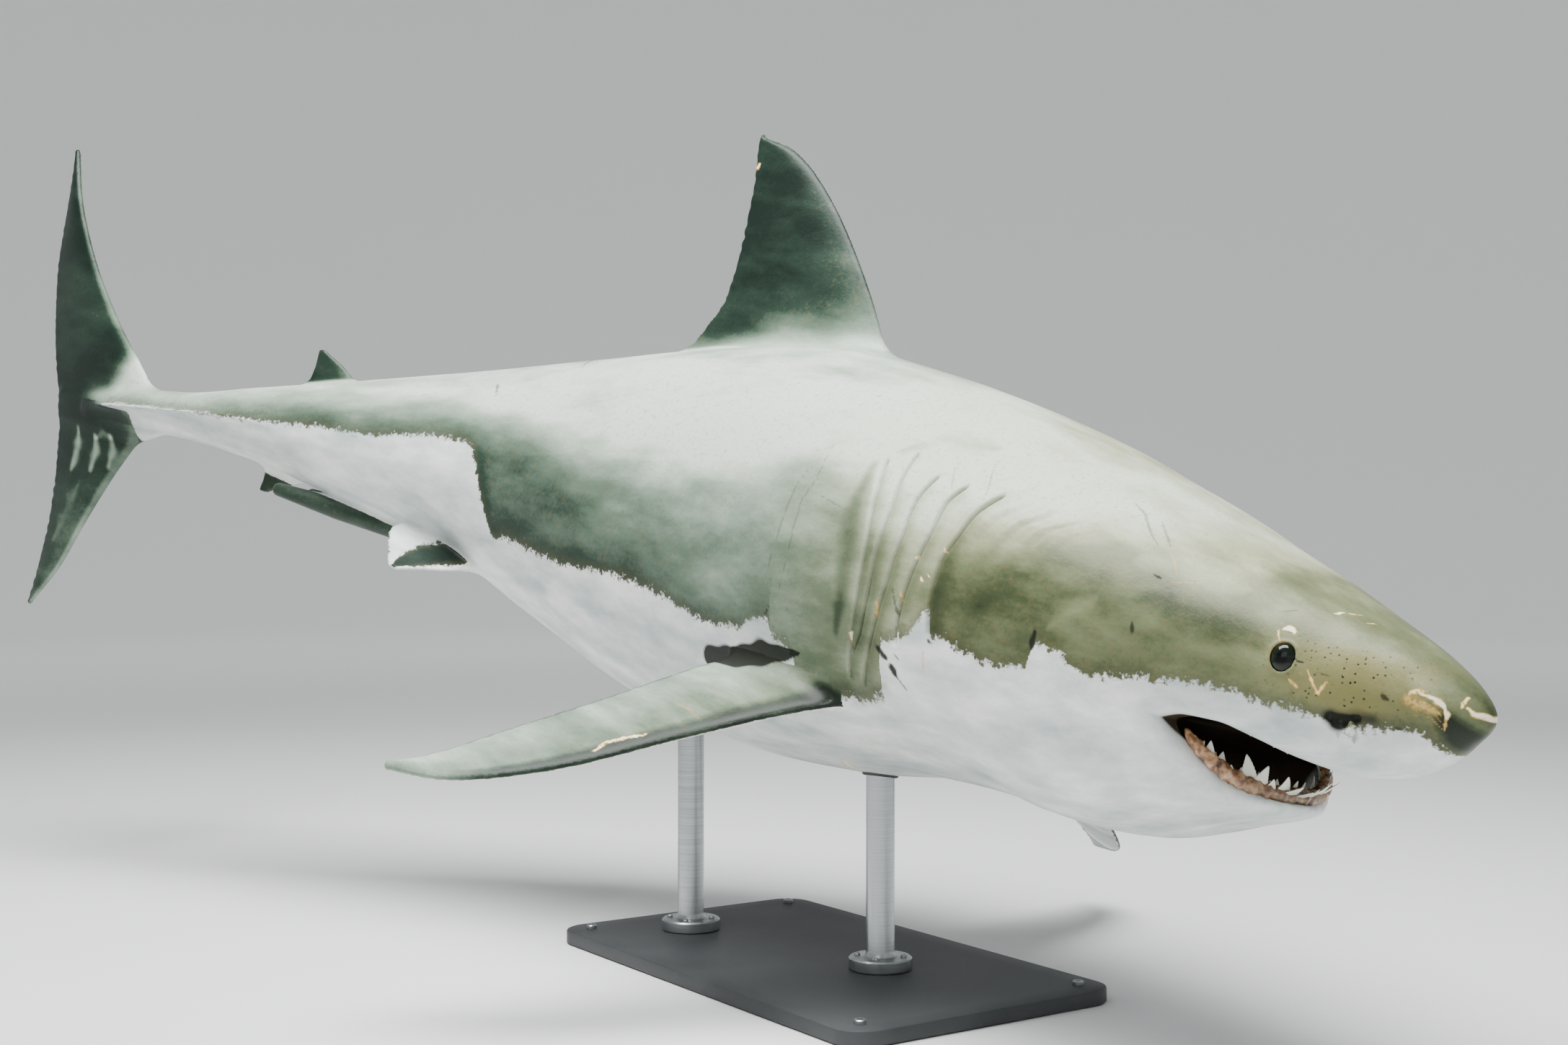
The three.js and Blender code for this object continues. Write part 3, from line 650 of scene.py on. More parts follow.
@dataclass
class Gills:
    """Five slits on each side; ahead of each one the skin swells into a flap that lies over it."""

    slits: Sequence[Knots] = (
        ((19.7, 4.4), (20.3, 3.4), (20.5, 2.4), (20.8, 1.2), (20.85, 0.0), (20.65, -1.75)),
        ((21.6, 4.5), (21.95, 3.6), (21.9, 2.4), (22.05, 1.0), (22.3, -0.7), (22.45, -2.3)),
        ((23.3, 4.7), (23.5, 3.6), (23.3, 1.9), (23.3, 0.5), (23.5, -0.9), (23.9, -2.5), (24.7, -4.3)),
        ((25.3, 5.5), (25.0, 4.2), (24.6, 2.8), (24.45, 1.4), (24.3, -0.4), (24.5, -2.1), (25.0, -3.1)),
        ((26.6, 5.0), (26.0, 3.6), (25.2, 1.3), (24.95, -0.9), (25.1, -2.3), (25.55, -4.2)),
    )
    depth: float = 0.34
    width: float = 0.11
    behind: float = 0.03  # how far behind its line a slit is deepest
    flap: float = 0.09
    flap_width: float = 0.55
    fold: float = 0.05  # of the upright folds above and ahead of the first slit
    open_from: tuple[float, float] = (-0.25, 0.35)  # a slit opens over this much of each end
    reach: Reach = (13, 29)

    def __post_init__(self) -> None:
        """Fits each slit as s over the drop from the top."""
        self.paths = [Curve([(-z, s) for s, z in slit]) for slit in self.slits]

    def grooves(self, s: Array, z: Array) -> list[tuple[Array, Array]]:
        """How far each point lies behind each slit, and how open that slit is at its level.

        Args:
            s, z: the points, seen from the side.

        Returns:
            The two for each slit, from the front.
        """
        found = []
        shut, wide = self.open_from
        for path in self.paths:
            within = smooth_step(-z, path.low + shut, path.low + wide)
            within = within * smooth_step(-z, path.high - shut, path.high - wide)
            found.append(((s - path(-z)) * path.lean(-z), within))
        return found

    def relief(self, s: Array, z: Array) -> Array:
        """How far the slits, flaps and folds push the skin inwards at (s, z).

        Args:
            s, z: the points, seen from the side.

        Returns:
            The push in percent.
        """
        total = np.zeros_like(s)
        grooves = self.grooves(s, z)
        for across, within in grooves:
            groove = self.depth * bump(across - self.behind, self.width)
            ahead = np.minimum(across, 0)
            flap = self.flap * bump(ahead, self.flap_width) * smooth_step(across, 0.12, -0.06)
            total = total + within * (groove - flap)
        ahead = grooves[0][0]
        folds = np.cos(ahead * 5.2 + z * 0.9) * bump(ahead + 2.2, 2.2) * bump(z - 3.4, 2.2)
        fade = smooth_step(s, self.reach[0], self.reach[0] + 2)
        return total - self.fold * folds * (ahead < 0.5) * fade

    def near(self, s: Array) -> Array:
        """Whether each station lies among the gills."""
        return (s > self.reach[0]) & (s < self.reach[1])


GILLS = Gills()


class Body:
    """The whole skin of the straight shark as one distance field."""

    FINS: Sequence[Fin | Chain] = (
        FIRST_DORSAL,
        SECOND_DORSAL,
        ANAL_FIN,
        *PECTORALS.values(),
        *PELVICS.values(),
        *CLASPERS.values(),
    )
    HEAD: Reach = (0, 15)
    TAIL_BLEND = 0.8
    CHEEK = (10.2, -3.75)  # s and z of the swelling below the corner of the mouth
    CHEEK_SIZE = (1.5, 0.6)
    CHEEK_SLOPE = 0.35
    CHEEK_RISE = 0.2

    @staticmethod
    def touches(s: Array, reach: Reach) -> bool:
        """Whether any station lies within a stretch of the body."""
        return bool(s.max() > reach[0] and s.min() < reach[1])

    def closed(self, s: Array, y: Array, z: Array) -> Array:
        """Trunk, jaw and keels, with nothing carved; distance in percent, negative inside.

        Args:
            s, y, z: the points.

        Returns:
            The distance from the surface.
        """
        skin = TRUNK.distance(s, y, z)
        for part in (JAW, KEEL):
            if self.touches(s, part.reach):
                skin = join(skin, part.distance(s, y, z), part.blend)
        return skin

    def head(self, skin: Array, s: Array, y: Array, z: Array) -> Array:
        """Carves mouth, sockets and nostrils into the closed skin.

        Args:
            skin: the closed skin's distance.
            s, y, z: the points.

        Returns:
            The new distance.
        """
        if self.touches(s, MOUTH.reach):
            back, up = s - self.CHEEK[0], z - self.CHEEK[1]
            long, tall = self.CHEEK_SIZE
            swell = np.hypot(back / long, (up - self.CHEEK_SLOPE * back) / tall)
            skin = skin - self.CHEEK_RISE * bump(swell, 1.0)
            skin = carve(skin, MOUTH.gape(s, z), MOUTH.rim)
            skin = carve(skin, MOUTH.hollow.distance(s, y, z), MOUTH.rim)
        if self.touches(s, ORBIT.reach):
            ball = ORBIT.ball(s, y, z)
            skin = skin - ORBIT.lid * bump(ball - ORBIT.edge, ORBIT.lid_width)
            skin = carve(skin, ball - ORBIT.clearance, ORBIT.edge)
        if self.touches(s, NOSTRIL.reach):
            hole, tab = [part.distance(s, np.abs(y), z) for part in (NOSTRIL.hole, NOSTRIL.tab)]
            skin = join(carve(skin, hole, NOSTRIL.blend[0]), tab, NOSTRIL.blend[1])
        return skin

    def distance(self, s: Array, y: Array, z: Array) -> Array:
        """Distance from the finished skin.

        Args:
            s, y, z: the points.

        Returns:
            The distance in percent, negative inside.
        """
        skin = self.closed(s, y, z)
        if self.touches(s, self.HEAD):
            skin = self.head(skin, s, y, z)
        if self.touches(s, GILLS.reach):
            skin = skin + GILLS.relief(s, z)
        if self.touches(s, UPPER_LOBE.reach):
            upper, lower = [lobe.distance(s, y, z) for lobe in (UPPER_LOBE, LOWER_LOBE)]
            skin = join(skin, join(upper, lower, self.TAIL_BLEND), self.TAIL_BLEND)
        for part in self.FINS:
            if self.touches(s, part.reach):
                skin = join(skin, part.distance(s, y, z), part.blend)
        return skin


# ---- Meshing ----


def in_threads(work: Callable, parts: Sequence) -> list:
    """Runs work on each part, a few at a time, and keeps the order of the results."""
    with ThreadPoolExecutor(WORKERS) as pool:
        return list(pool.map(work, parts))


@dataclass
class Lattice:
    """A grid, fine at the head and coarser behind, whose cells turn a distance field into quads."""

    step: float = 0.078  # y and z, before the swell
    coarse: float = 1.0

    BLOCK = 8  # cells along a block's side
    CHUNK = 96  # blocks meshed at once
    CULL = 1.35  # how far off the surface a block still counts, in block radii
    STEPS = ((-1, 0.055), (11, 0.06), (15, 0.085), (28, 0.105), (36, 0.15), (101, 0.14))
    SWELL = ((-1, 0.8), (11, 0.8), (18, 1.05), (28, 1.25), (101, 1.25))
    FIRST, LAST = -0.6, 99.5  # s
    SIDE = (8.0, 20.8)  # even as far as the first, then wider up to the second
    UP = (9.6, 19.4)
    DOWN = (12.6, 12.6)
    WIDER = 1.1  # by how much the last cell is wider

    def __post_init__(self) -> None:
        """Lays out the corners."""
        steps, swell = Curve(self.STEPS), Curve(self.SWELL)
        s = [self.FIRST]
        while s[-1] < self.LAST:
            s.append(s[-1] + float(steps(np.array(s[-1]))) * self.coarse)
        self.s = self.padded(np.array(s))
        self.swell = swell(self.s).astype(np.float32)
        out, up, down = self.axis(*self.SIDE), self.axis(*self.UP), self.axis(*self.DOWN)
        self.y = self.padded(np.concatenate([-out[:0:-1], out]))
        self.z = self.padded(np.concatenate([-down[:0:-1], up]))

    def axis(self, even: float, end: float) -> Array:
        """Corners from 0 outwards, evenly spaced as far as even, and then wider.

        Args:
            even: where the even spacing stops.
            end: where the corners stop.

        Returns:
            The corners in percent.
        """
        at = [0.0]
        while at[-1] < end:
            wider = 1 + self.WIDER * max(at[-1] - even, 0) / max(end - even, 1)
            at.append(at[-1] + self.step * self.coarse * wider)
        return np.array(at)

    def padded(self, corners: Array) -> Array:
        """Adds corners so that whole blocks fit with one more on each side.

        Args:
            corners: along one axis.

        Returns:
            The corners with more at the end.
        """
        spare = -(len(corners) - 2) % self.BLOCK
        after = corners[-1] + (corners[-1] - corners[-2]) * np.arange(1, spare + 1)
        return np.concatenate([corners, after]).astype(np.float32)

    def place(self, a: Array, b: Array, c: Array) -> list[Array]:
        """Turns places counted in corners into (s, y, z).

        Args:
            a, b, c: the places along each axis.

        Returns:
            The three coordinates in percent.
        """
        found = []
        for at, corners in ((a, self.s), (a, self.swell), (b, self.y), (c, self.z)):
            row = np.clip(at.astype(np.int32), 0, len(corners) - 2)
            part = (at - row).astype(np.float32)
            found.append(corners[row] * (1 - part) + corners[row + 1] * part)
        s, swell, y, z = found
        return [s, y * swell, z * swell]

    def blocks(self, distance: Distance) -> Array:
        """Finds the blocks that the surface may pass through.

        Args:
            distance: the field of the surface.

        Returns:
            The first corner of each block, in order along the body.
        """
        axes = (self.s, self.y, self.z)
        firsts = [np.arange(1, len(axis) - self.BLOCK, self.BLOCK) for axis in axes]
        first = np.stack([g.ravel() for g in np.meshgrid(*firsts, indexing="ij")], 1)
        middle = self.place(*(first.T + self.BLOCK / 2))
        low, high = self.place(*(first.T - 1)), self.place(*(first.T + self.BLOCK + 0.999))
        radius = np.sqrt(sum((h - l) ** 2 for l, h in zip(low, high))) / 2
        parts = np.array_split(np.arange(len(first)), 64)
        near = np.concatenate(in_threads(lambda rows: distance(*(m[rows] for m in middle)), parts))
        return first[np.abs(near) < radius * self.CULL]

    def net(self, distance: Distance) -> tuple[Array, Array]:
        """Wraps quads round the surface.

        Args:
            distance: the field of the surface.

        Returns:
            The vertices as (s, y, z) rows, and the quads.
        """
        first = self.blocks(distance)
        chunks = np.array_split(first, max(len(first) // self.CHUNK, 1))
        found = in_threads(lambda chunk: self.net_chunk(chunk, distance), chunks)
        ids, spots, quads = [np.concatenate(kind) for kind in zip(*found)]
        ids, rows = np.unique(ids, return_index=True)
        return np.stack(self.place(*spots[rows].T), 1), np.searchsorted(ids, quads)

    def net_chunk(self, first: Array, distance: Distance) -> tuple[Array, Array, Array]:
        """The vertices and quads of a few blocks.

        Args:
            first: first corners of the blocks.
            distance: the field of the surface.

        Returns:
            Cell numbers, their vertices counted in corners, and quads of cell numbers.
        """
        cells = self.BLOCK + 1
        offset = np.arange(cells + 1) - 1
        a, b, c = [first[:, k, None] + offset for k in range(3)]
        spread = np.broadcast_arrays(a[:, :, None, None], b[:, None, :, None], c[:, None, None, :])
        swell = self.swell[spread[0]]
        value = distance(self.s[spread[0]], self.y[spread[1]] * swell, self.z[spread[2]] * swell)
        inside = value < 0
        count = np.zeros((len(first), cells, cells, cells), np.int8)
        shifts = list(product((0, 1), repeat=3))
        for i, j, k in shifts:
            count += inside[:, i : i + cells, j : j + cells, k : k + cells]
        n, i, j, k = np.nonzero((count > 0) & (count < 8))
        corner = {d: value[n, i + d[0], j + d[1], k + d[2]] for d in shifts}
        total, hits = np.zeros((len(n), 3)), np.zeros(len(n))
        for d, axis in product(shifts, range(3)):
            if d[axis]:
                continue
            e = tuple(v + (axis == m) for m, v in enumerate(d))
            cross = (corner[d] < 0) != (corner[e] < 0)
            gap = np.where(cross, corner[d] - corner[e], 1)
            spot = np.tile(np.array(d, float), (len(n), 1))
            spot[:, axis] += corner[d] / gap
            total += np.where(cross[:, None], spot, 0)
            hits += cross
        base = np.stack([a[n, i], b[n, j], c[n, k]], 1)
        quads = [self.faces(inside, (a, b, c), axis) for axis in range(3)]
        return self.number(*base.T), base + total / hits[:, None], np.concatenate(quads)

    def number(self, a: Array, b: Array, c: Array) -> Array:
        """One number for each cell of the whole grid."""
        return (a.astype(np.int64) * len(self.y) + b) * len(self.z) + c

    def faces(self, inside: Array, corners: Sequence[Array], axis: int) -> Array:
        """Quads across the grid's edges along one axis.

        Args:
            inside: whether each corner of each block lies inside.
            corners: the corner numbers of the blocks along each axis.
            axis: the axis of the edges.

        Returns:
            Rows of four cell numbers that turn with their front outwards in world space.
        """
        own = [slice(None)] + [slice(1, self.BLOCK + 1)] * 3
        beyond = list(own)
        beyond[axis + 1] = slice(2, self.BLOCK + 2)
        here, there = inside[tuple(own)], inside[tuple(beyond)]
        n, *at = np.nonzero(here != there)
        leaving = here[n, *at]
        u, v = (axis + 1) % 3, (axis + 2) % 3
        ring = []
        for du, dv in ((-1, -1), (0, -1), (0, 0), (-1, 0)):
            cell = [place + 1 for place in at]
            cell[u] = cell[u] + du
            cell[v] = cell[v] + dv
            ring.append(self.number(*(corners[m][n, cell[m]] for m in range(3))))
        quad = np.stack(ring, 1)
        return np.where(leaving[:, None], quad[:, ::-1], quad)


def settle(points: Array, distance: Distance, rounds: int = 2) -> Array:
    """Moves points onto the surface along the field's slope.

    Args:
        points: (s, y, z) rows near the surface.
        distance: the field of the surface.
        rounds: how often to step.

    Returns:
        The moved points.
    """
    nudge, longest, flattest, tiny = 0.015, 0.06, 0.05, 1e-9
    at_once = 40_000

    def step(part: Array) -> Array:
        """One step for some of the points.

        Args:
            part: those points.

        Returns:
            The same points, nearer the surface.
        """
        here = distance(*part.T)
        slope = []
        for axis in range(3):
            moved = part.copy()
            moved[:, axis] += nudge
            slope.append((distance(*moved.T) - here) / nudge)
        grad = np.stack(slope, 1)
        move = -(here / np.maximum((grad**2).sum(1), flattest))[:, None] * grad
        size = np.maximum(np.sqrt((move**2).sum(1)), tiny)
        return part + move * np.minimum(1, longest / size)[:, None]

    for _ in range(rounds):
        parts = np.array_split(points.astype(np.float32), max(len(points) // at_once, 1))
        points = np.concatenate(in_threads(step, parts))
    return points


class Spine:
    """Bends the straight body, banks it and lifts it onto the stand."""

    HEADINGS = ((-5, 0), (22, 0), (45, -19.6), (65, -35.2), (85, -21.7), (110, -12.2))  # s, degrees
    PITCH = math.radians(6.7)  # nose down
    ROLL = math.radians(-10.5)  # left side down
    SNOUT = Vector((1.5, 0.11, 0.62))  # metres
    STEP, END = 0.25, 105

    def __init__(self) -> None:
        """Walks back along the spine from the snout."""
        self.heading = Curve([(s, math.radians(angle)) for s, angle in self.HEADINGS])
        middles = self.heading(np.arange(0, self.END, self.STEP) + self.STEP / 2)
        self.x = np.concatenate([[0], -np.cumsum(np.cos(middles) * self.STEP)])
        self.y = np.concatenate([[0], np.cumsum(np.sin(middles) * self.STEP)])
        self.banking = Matrix.Rotation(self.PITCH, 3, "Y") @ Matrix.Rotation(self.ROLL, 3, "X")

    def bend(self, points: Array, station: float | None = None) -> Array:
        """Takes straight points to the world.

        Args:
            points: (s, y, z) rows in percent.
            station: the one station whose frame carries every point stiffly, or none to bend them.

        Returns:
            World places in metres.
        """
        s, y, z = points.T.astype(float)
        at = np.maximum(s, 0) if station is None else np.full_like(s, station)
        heading = self.heading(at).astype(float)
        stations = np.arange(len(self.x)) * self.STEP
        cos, sin = np.cos(heading), np.sin(heading)
        x = np.interp(at, stations, self.x) - (s - at) * cos + y * sin
        y = np.interp(at, stations, self.y) + (s - at) * sin + y * cos
        bent = np.stack([x, y, z], 1) * PERCENT
        return bent @ np.array(self.banking).T + np.array(self.SNOUT)


SPINE = Spine()
PECTORAL_STATION = 29.5


def mesh_object(name: str, points: Array, faces: Array | list) -> Piece:
    """A new object in the scene.

    Args:
        name: name of the piece.
        points: world places in metres.
        faces: rows of vertex numbers, all quads as an array or any polygons as a list.

    Returns:
        The object, shaded smooth.
    """
    mesh = bpy.data.meshes.new(name)
    if isinstance(faces, np.ndarray):
        mesh.vertices.add(len(points))
        mesh.vertices.foreach_set("co", np.ascontiguousarray(points, np.float32).ravel())
        mesh.loops.add(faces.size)
        mesh.loops.foreach_set("vertex_index", faces.astype(np.int32).ravel())
        mesh.polygons.add(len(faces))
        starts = np.arange(0, faces.size, faces.shape[1], dtype=np.int32)
        mesh.polygons.foreach_set("loop_start", starts)
        mesh.update(calc_edges=True)
        mesh.validate()
    else:
        mesh.from_pydata([tuple(p) for p in points], [], faces)
        mesh.update()
    mesh.shade_smooth()
    piece = bpy.data.objects.new(name, mesh)
    bpy.context.scene.collection.objects.link(piece)
    return piece


def add_attribute(piece: Piece, name: str, values: Array) -> None:
    """Gives each vertex a number, or a vector where values has rows of three.

    Args:
        piece: the mesh object.
        name: the name that materials read.
        values: one row for each vertex.
    """
    kind, key = ("FLOAT_VECTOR", "vector") if values.ndim == 2 else ("FLOAT", "value")
    attribute = piece.data.attributes.new(name, kind, "POINT")
    attribute.data.foreach_set(key, np.ascontiguousarray(values, np.float32).ravel())


def put_on(piece: Piece, material: Material) -> Piece:
    """Gives a piece its material, and lets it ride on the body.

    Args:
        piece: the mesh object.
        material: its finish.

    Returns:
        The same piece.
    """
    piece.data.materials.clear()
    piece.data.materials.append(material)
    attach(piece, ROOT)
    LOG.info("%s: %d vertices", piece.name, len(piece.data.vertices))
    return piece


# ---- Finishes ----


def linear(code: str) -> tuple[float, float, float, float]:
    """Turns an sRGB hex colour to linear RGBA."""
    parts = [int(code[i : i + 2], 16) / 255 for i in (1, 3, 5)]
    return (*(p / 12.92 if p <= 0.04045 else ((p + 0.055) / 1.055) ** 2.4 for p in parts), 1.0)


class Nodes:
    """A new material, and the nodes that make it."""

    def __init__(self, name: str) -> None:
        """Starts with no nodes.

        Args:
            name: of the material.
        """
        self.material = bpy.data.materials.new(name)
        self.material.use_nodes = True
        self.tree = self.material.node_tree
        self.tree.nodes.clear()

    def add(
        self, kind: str, inputs: dict[str | int, object], stops: Iterable = (), **settings: object
    ) -> Node:
        """Adds a node with its settings and links.

        Args:
            kind: the node's type, after ShaderNode.
            inputs: for each input, a value, or a socket or a node's first output to link from.
            stops: places and sRGB colours of a ramp.
            settings: properties of the node.

        Returns:
            The node.
        """
        node = self.tree.nodes.new("ShaderNode" + kind)
        for name, value in settings.items():
            setattr(node, name, value)
        for k, (at, code) in enumerate(stops):
            elements = node.color_ramp.elements
            element = elements[k] if k < len(elements) else elements.new(1.0)
            element.position = at
            element.color = linear(code)
        for name, value in inputs.items():
            if isinstance(value, Node):
                value = next(socket for socket in value.outputs if socket.enabled)
            if isinstance(value, bpy.types.NodeSocket):
                self.tree.links.new(value, node.inputs[name])
            else:
                node.inputs[name].default_value = value
        return node

    def read(self, name: str, output: str = "Color") -> Link:
        """A vertex attribute."""
        return self.add("Attribute", {}, attribute_name=name).outputs[output]

    def noise(self, vector: Link, size_mm: float, detail: float, rough: float = 0.5) -> Node:
        """Noise whose largest lumps are about as wide as the size."""
        scale = {"Vector": vector, "Scale": 1000 / size_mm, "Detail": detail, "Roughness": rough}
        return self.add("TexNoise", scale)

    def ramp(self, factor: Link, *stops: tuple[float, str]) -> Node:
        """Colours along a factor."""
        return self.add("ValToRGB", {"Fac": factor}, stops)

    def span(self, value: Link, low: float, high: float, to: float = 1.0, start: float = 0.0) -> Node:
        """Runs from start at low to to at high, and no further."""
        ends = {"From Min": low, "From Max": high, "To Min": start, "To Max": to}
        return self.add("MapRange", {"Value": value} | ends)

    def mix(self, share: Link, a: object, b: object, **settings: object) -> Node:
        """Colour a, with a share of colour b laid over it; each one a link or a hex code."""
        a, b = [linear(colour) if isinstance(colour, str) else colour for colour in (a, b)]
        return self.add("Mix", {0: share, 6: a, 7: b}, data_type="RGBA", **settings)

    def times(self, a: Link, b: float | Link) -> Node:
        """The product of two values."""
        return self.add("Math", {0: a, 1: b}, operation="MULTIPLY")

    def plus(self, base: float | Link, a: Link, factor: float) -> Node:
        """The base and a factor of a."""
        return self.add("Math", {0: a, 1: factor, 2: base}, operation="MULTIPLY_ADD")

    def bump(self, height: Link, strength: float, metres: float) -> Node:
        """A bumped normal."""
        return self.add("Bump", {"Height": height, "Strength": strength, "Distance": metres})

    def surface(self, inputs: dict[str, object]) -> Material:
        """Ends with the shader and the output; the material."""
        self.add("OutputMaterial", {"Surface": self.add("BsdfPrincipled", inputs)})
        return self.material


# ---- The skin's markings ----


@dataclass(frozen=True)
class Stroke:
    """A mark along (s, z) knots on one flank.

    Its half width is in percent, its strength runs from 0 to 1, and it narrows to a share of its
    width at each end.
    """

    path: Knots
    width: float
    strength: float = 1.0
    ends: tuple[float, float] = (0.3, 0.3)
    fade: float = 0.6  # share of its width that fades
    torn: float = 0.35  # how ragged its outline is
    side: Side | None = Side.RIGHT  # none for both

    def cover(self, s: Array, y: Array, z: Array) -> Array:
        """How much of the mark lies on each point.

        Args:
            s, y, z: the points.

        Returns:
            The cover, from 0 to the mark's strength.
        """
        path = np.array(self.path, float)
        low, high = path.min(0) - 2 * self.width, path.max(0) + 2 * self.width
        near = (s > low[0]) & (s < high[0]) & (z > low[1]) & (z < high[1])
        if self.side is not None:
            near &= y * self.side > 0
        rows = np.nonzero(near)[0]
        spots = np.stack([s[rows], z[rows]], 1)
        legs = np.diff(path, axis=0)
        lengths = np.hypot(*legs.T)
        gone = np.concatenate([[0], np.cumsum(lengths)]) / lengths.sum()
        gap, part = np.full(len(rows), np.inf), np.zeros(len(rows))
        for k, leg in enumerate(legs):
            t = np.clip((spots - path[k]) @ leg / lengths[k] ** 2, 0, 1)
            off = np.hypot(*(spots - path[k] - t[:, None] * leg).T)
            part = np.where(off < gap, gone[k] + t * (gone[k + 1] - gone[k]), part)
            gap = np.minimum(gap, off)
        first, last = self.ends
        narrow = np.minimum(first + (1 - first) * 3 * part, last + (1 - last) * 3 * (1 - part))
        ragged = ripple(*(spots.T / (0.6 * self.width + 0.03)), self.width)
        size = self.width * np.minimum(narrow, 1) * (1 + self.torn * ragged)
        found = np.zeros(len(s), np.float32)
        found[rows] = self.strength * smooth_step(gap / np.maximum(size, 1e-4), 1, 1 - self.fade)
        return found


def most(marks: Sequence[Stroke], points: Array) -> Array:
    """The strongest of several marks on each point."""
    return np.max([mark.cover(*points.T) for mark in marks], axis=0)


def strokes(*rows: Sequence, **shared: object) -> tuple[Stroke, ...]:
    """Marks from rows of Stroke's values, and values that they share."""
    return tuple(Stroke(*row, **shared) for row in rows)


# levels of the edge between the grey back and the white belly
BORDER = Curve(
    (
        (0, -2.6), (0.7, -2.3), (1.1, -1.45), (2, -0.98), (3.0, -1.15), (3.7, -1.45), (4.3, -1.2),
        (6.5, -1.15), (8, -1.0), (10.8, -1.35), (13.2, -1.7), (14.4, -1.15), (15.4, -1.0),
        (15.8, -1.95), (17.7, -2.25), (19.8, -1.75), (20.4, -1.8), (20.75, -1.5), (20.9, -0.8),
        (21.3, -1.25), (22.1, -2.1), (22.35, -1.4), (22.6, -2.2), (23.3, -2.5), (23.6, -4.6),
        (25.5, -5.2), (27.5, -5.0), (29.1, -4.6), (29.8, -3.75), (30.9, -3.4), (31.2, -2.85),
        (32.5, -2.95), (33.9, -3.5), (36.4, -3.65), (39.7, -3.1), (43.9, -2.7), (49.8, -2.75),
        (54.4, -2.25), (55.2, -2.4), (55.7, -1.5), (56.5, -0.2), (57.5, 1.6), (58.5, 2.2), (61.5, 2.1),
        (64.9, 1.5), (69, 1.25), (73.9, 0.9), (83.4, 0.3), (90, -0.2),
    )
)
# levels about which the painted top light of the pale back gives way to the darker flank
TOP_LIGHT_LINE = Curve(
    (
        (0, 0.3), (1.1, 0.6), (2.9, 1.4), (4.9, 2.2), (6.3, 2.8), (9, 3.1), (11.8, 4.0), (15, 3.9),
        (18, 3.4), (20.5, 3.4), (22.5, 3.2), (25, 3.4), (27, 4.2), (30.5, 4.8), (34, 4.0), (40, 3.0),
        (46, 3.1), (52, 3.3), (57, 3.7), (62, 3.8), (70, 2.7), (80, 1.0), (90, 0),
    )
)
# how pale the flank is, and the back, which is painted pale as if lit from above; from -1 to 1
FLANK = Curve(
    (
        (0, -0.6), (2, -0.35), (5, -0.28), (12, -0.34), (18, -0.36), (20.1, -0.28), (21.1, 0.1),
        (22.2, 0.25), (25, 0.25), (27, 0.1), (30, 0.15), (33, 0.1), (40, 0.0), (50, -0.22), (56, -0.25),
        (62, -0.1), (70, 0.0), (90, -0.2),
    )
)
BACK_WITH_TOP_LIGHT = Curve(
    (
        (0, -0.35), (2, -0.05), (5, 0.2), (8, 0.5), (11, 0.75), (14, 0.95), (90, 1),
    )
)

# paler patches or, below zero, darker ones
TINTS = strokes(
    (((27.2, 4.8), (26.9, 3), (26.2, 1), (26.0, -1), (26.2, -2.5)), 1.0, -0.45, (0.4, 0.3), 1.0, 0.15),
    (((26.3, 5.6), (24.4, 6.6), (22.0, 6.4)), 0.9, -0.35, (0.3, 0.3), 1.0, 0.3),
    (((22.3, 4.6), (20.6, 5.4), (18.5, 5.2)), 0.7, 0.5, (0.2, 0.2), 1.0, 0.3),
    (((18.4, -0.2), (17.0, 1.6), (15.2, 2.2)), 1.6, -0.12, (0.3, 0.3), 1.0, 0.4),
    (((15.0, -0.3), (14.2, 0.5), (13.4, 1.2)), 0.8, 0.25, (0.3, 0.3), 1.0, 0.5),
    (((20.4, 2.6), (20.3, 0.6), (20.2, -1.4)), 0.8, -0.2, (0.4, 0.6), 1.0, 0.3),
    (((11.5, 1.7), (9.0, 1.35), (7.0, 0.9)), 1.2, -0.3, (0.5, 0.5), 1.0, 0.2),
    (((12.6, 2.9), (10.5, 2.9), (8.5, 2.6)), 0.9, 0.25, (0.3, 0.3), 1.0, 0.4),
    (((2.3, 0.9), (1.2, 0.2)), 0.5, 0.2, (0.3, 0.3), 1.0, 0.2),
    # painted shade under the snout's tip
    (((0.95, -0.4), (0.6, -0.75), (0.3, -1.3)), 0.75, -0.9, (0.7, 0.9), 0.9, 0.2, None),
)
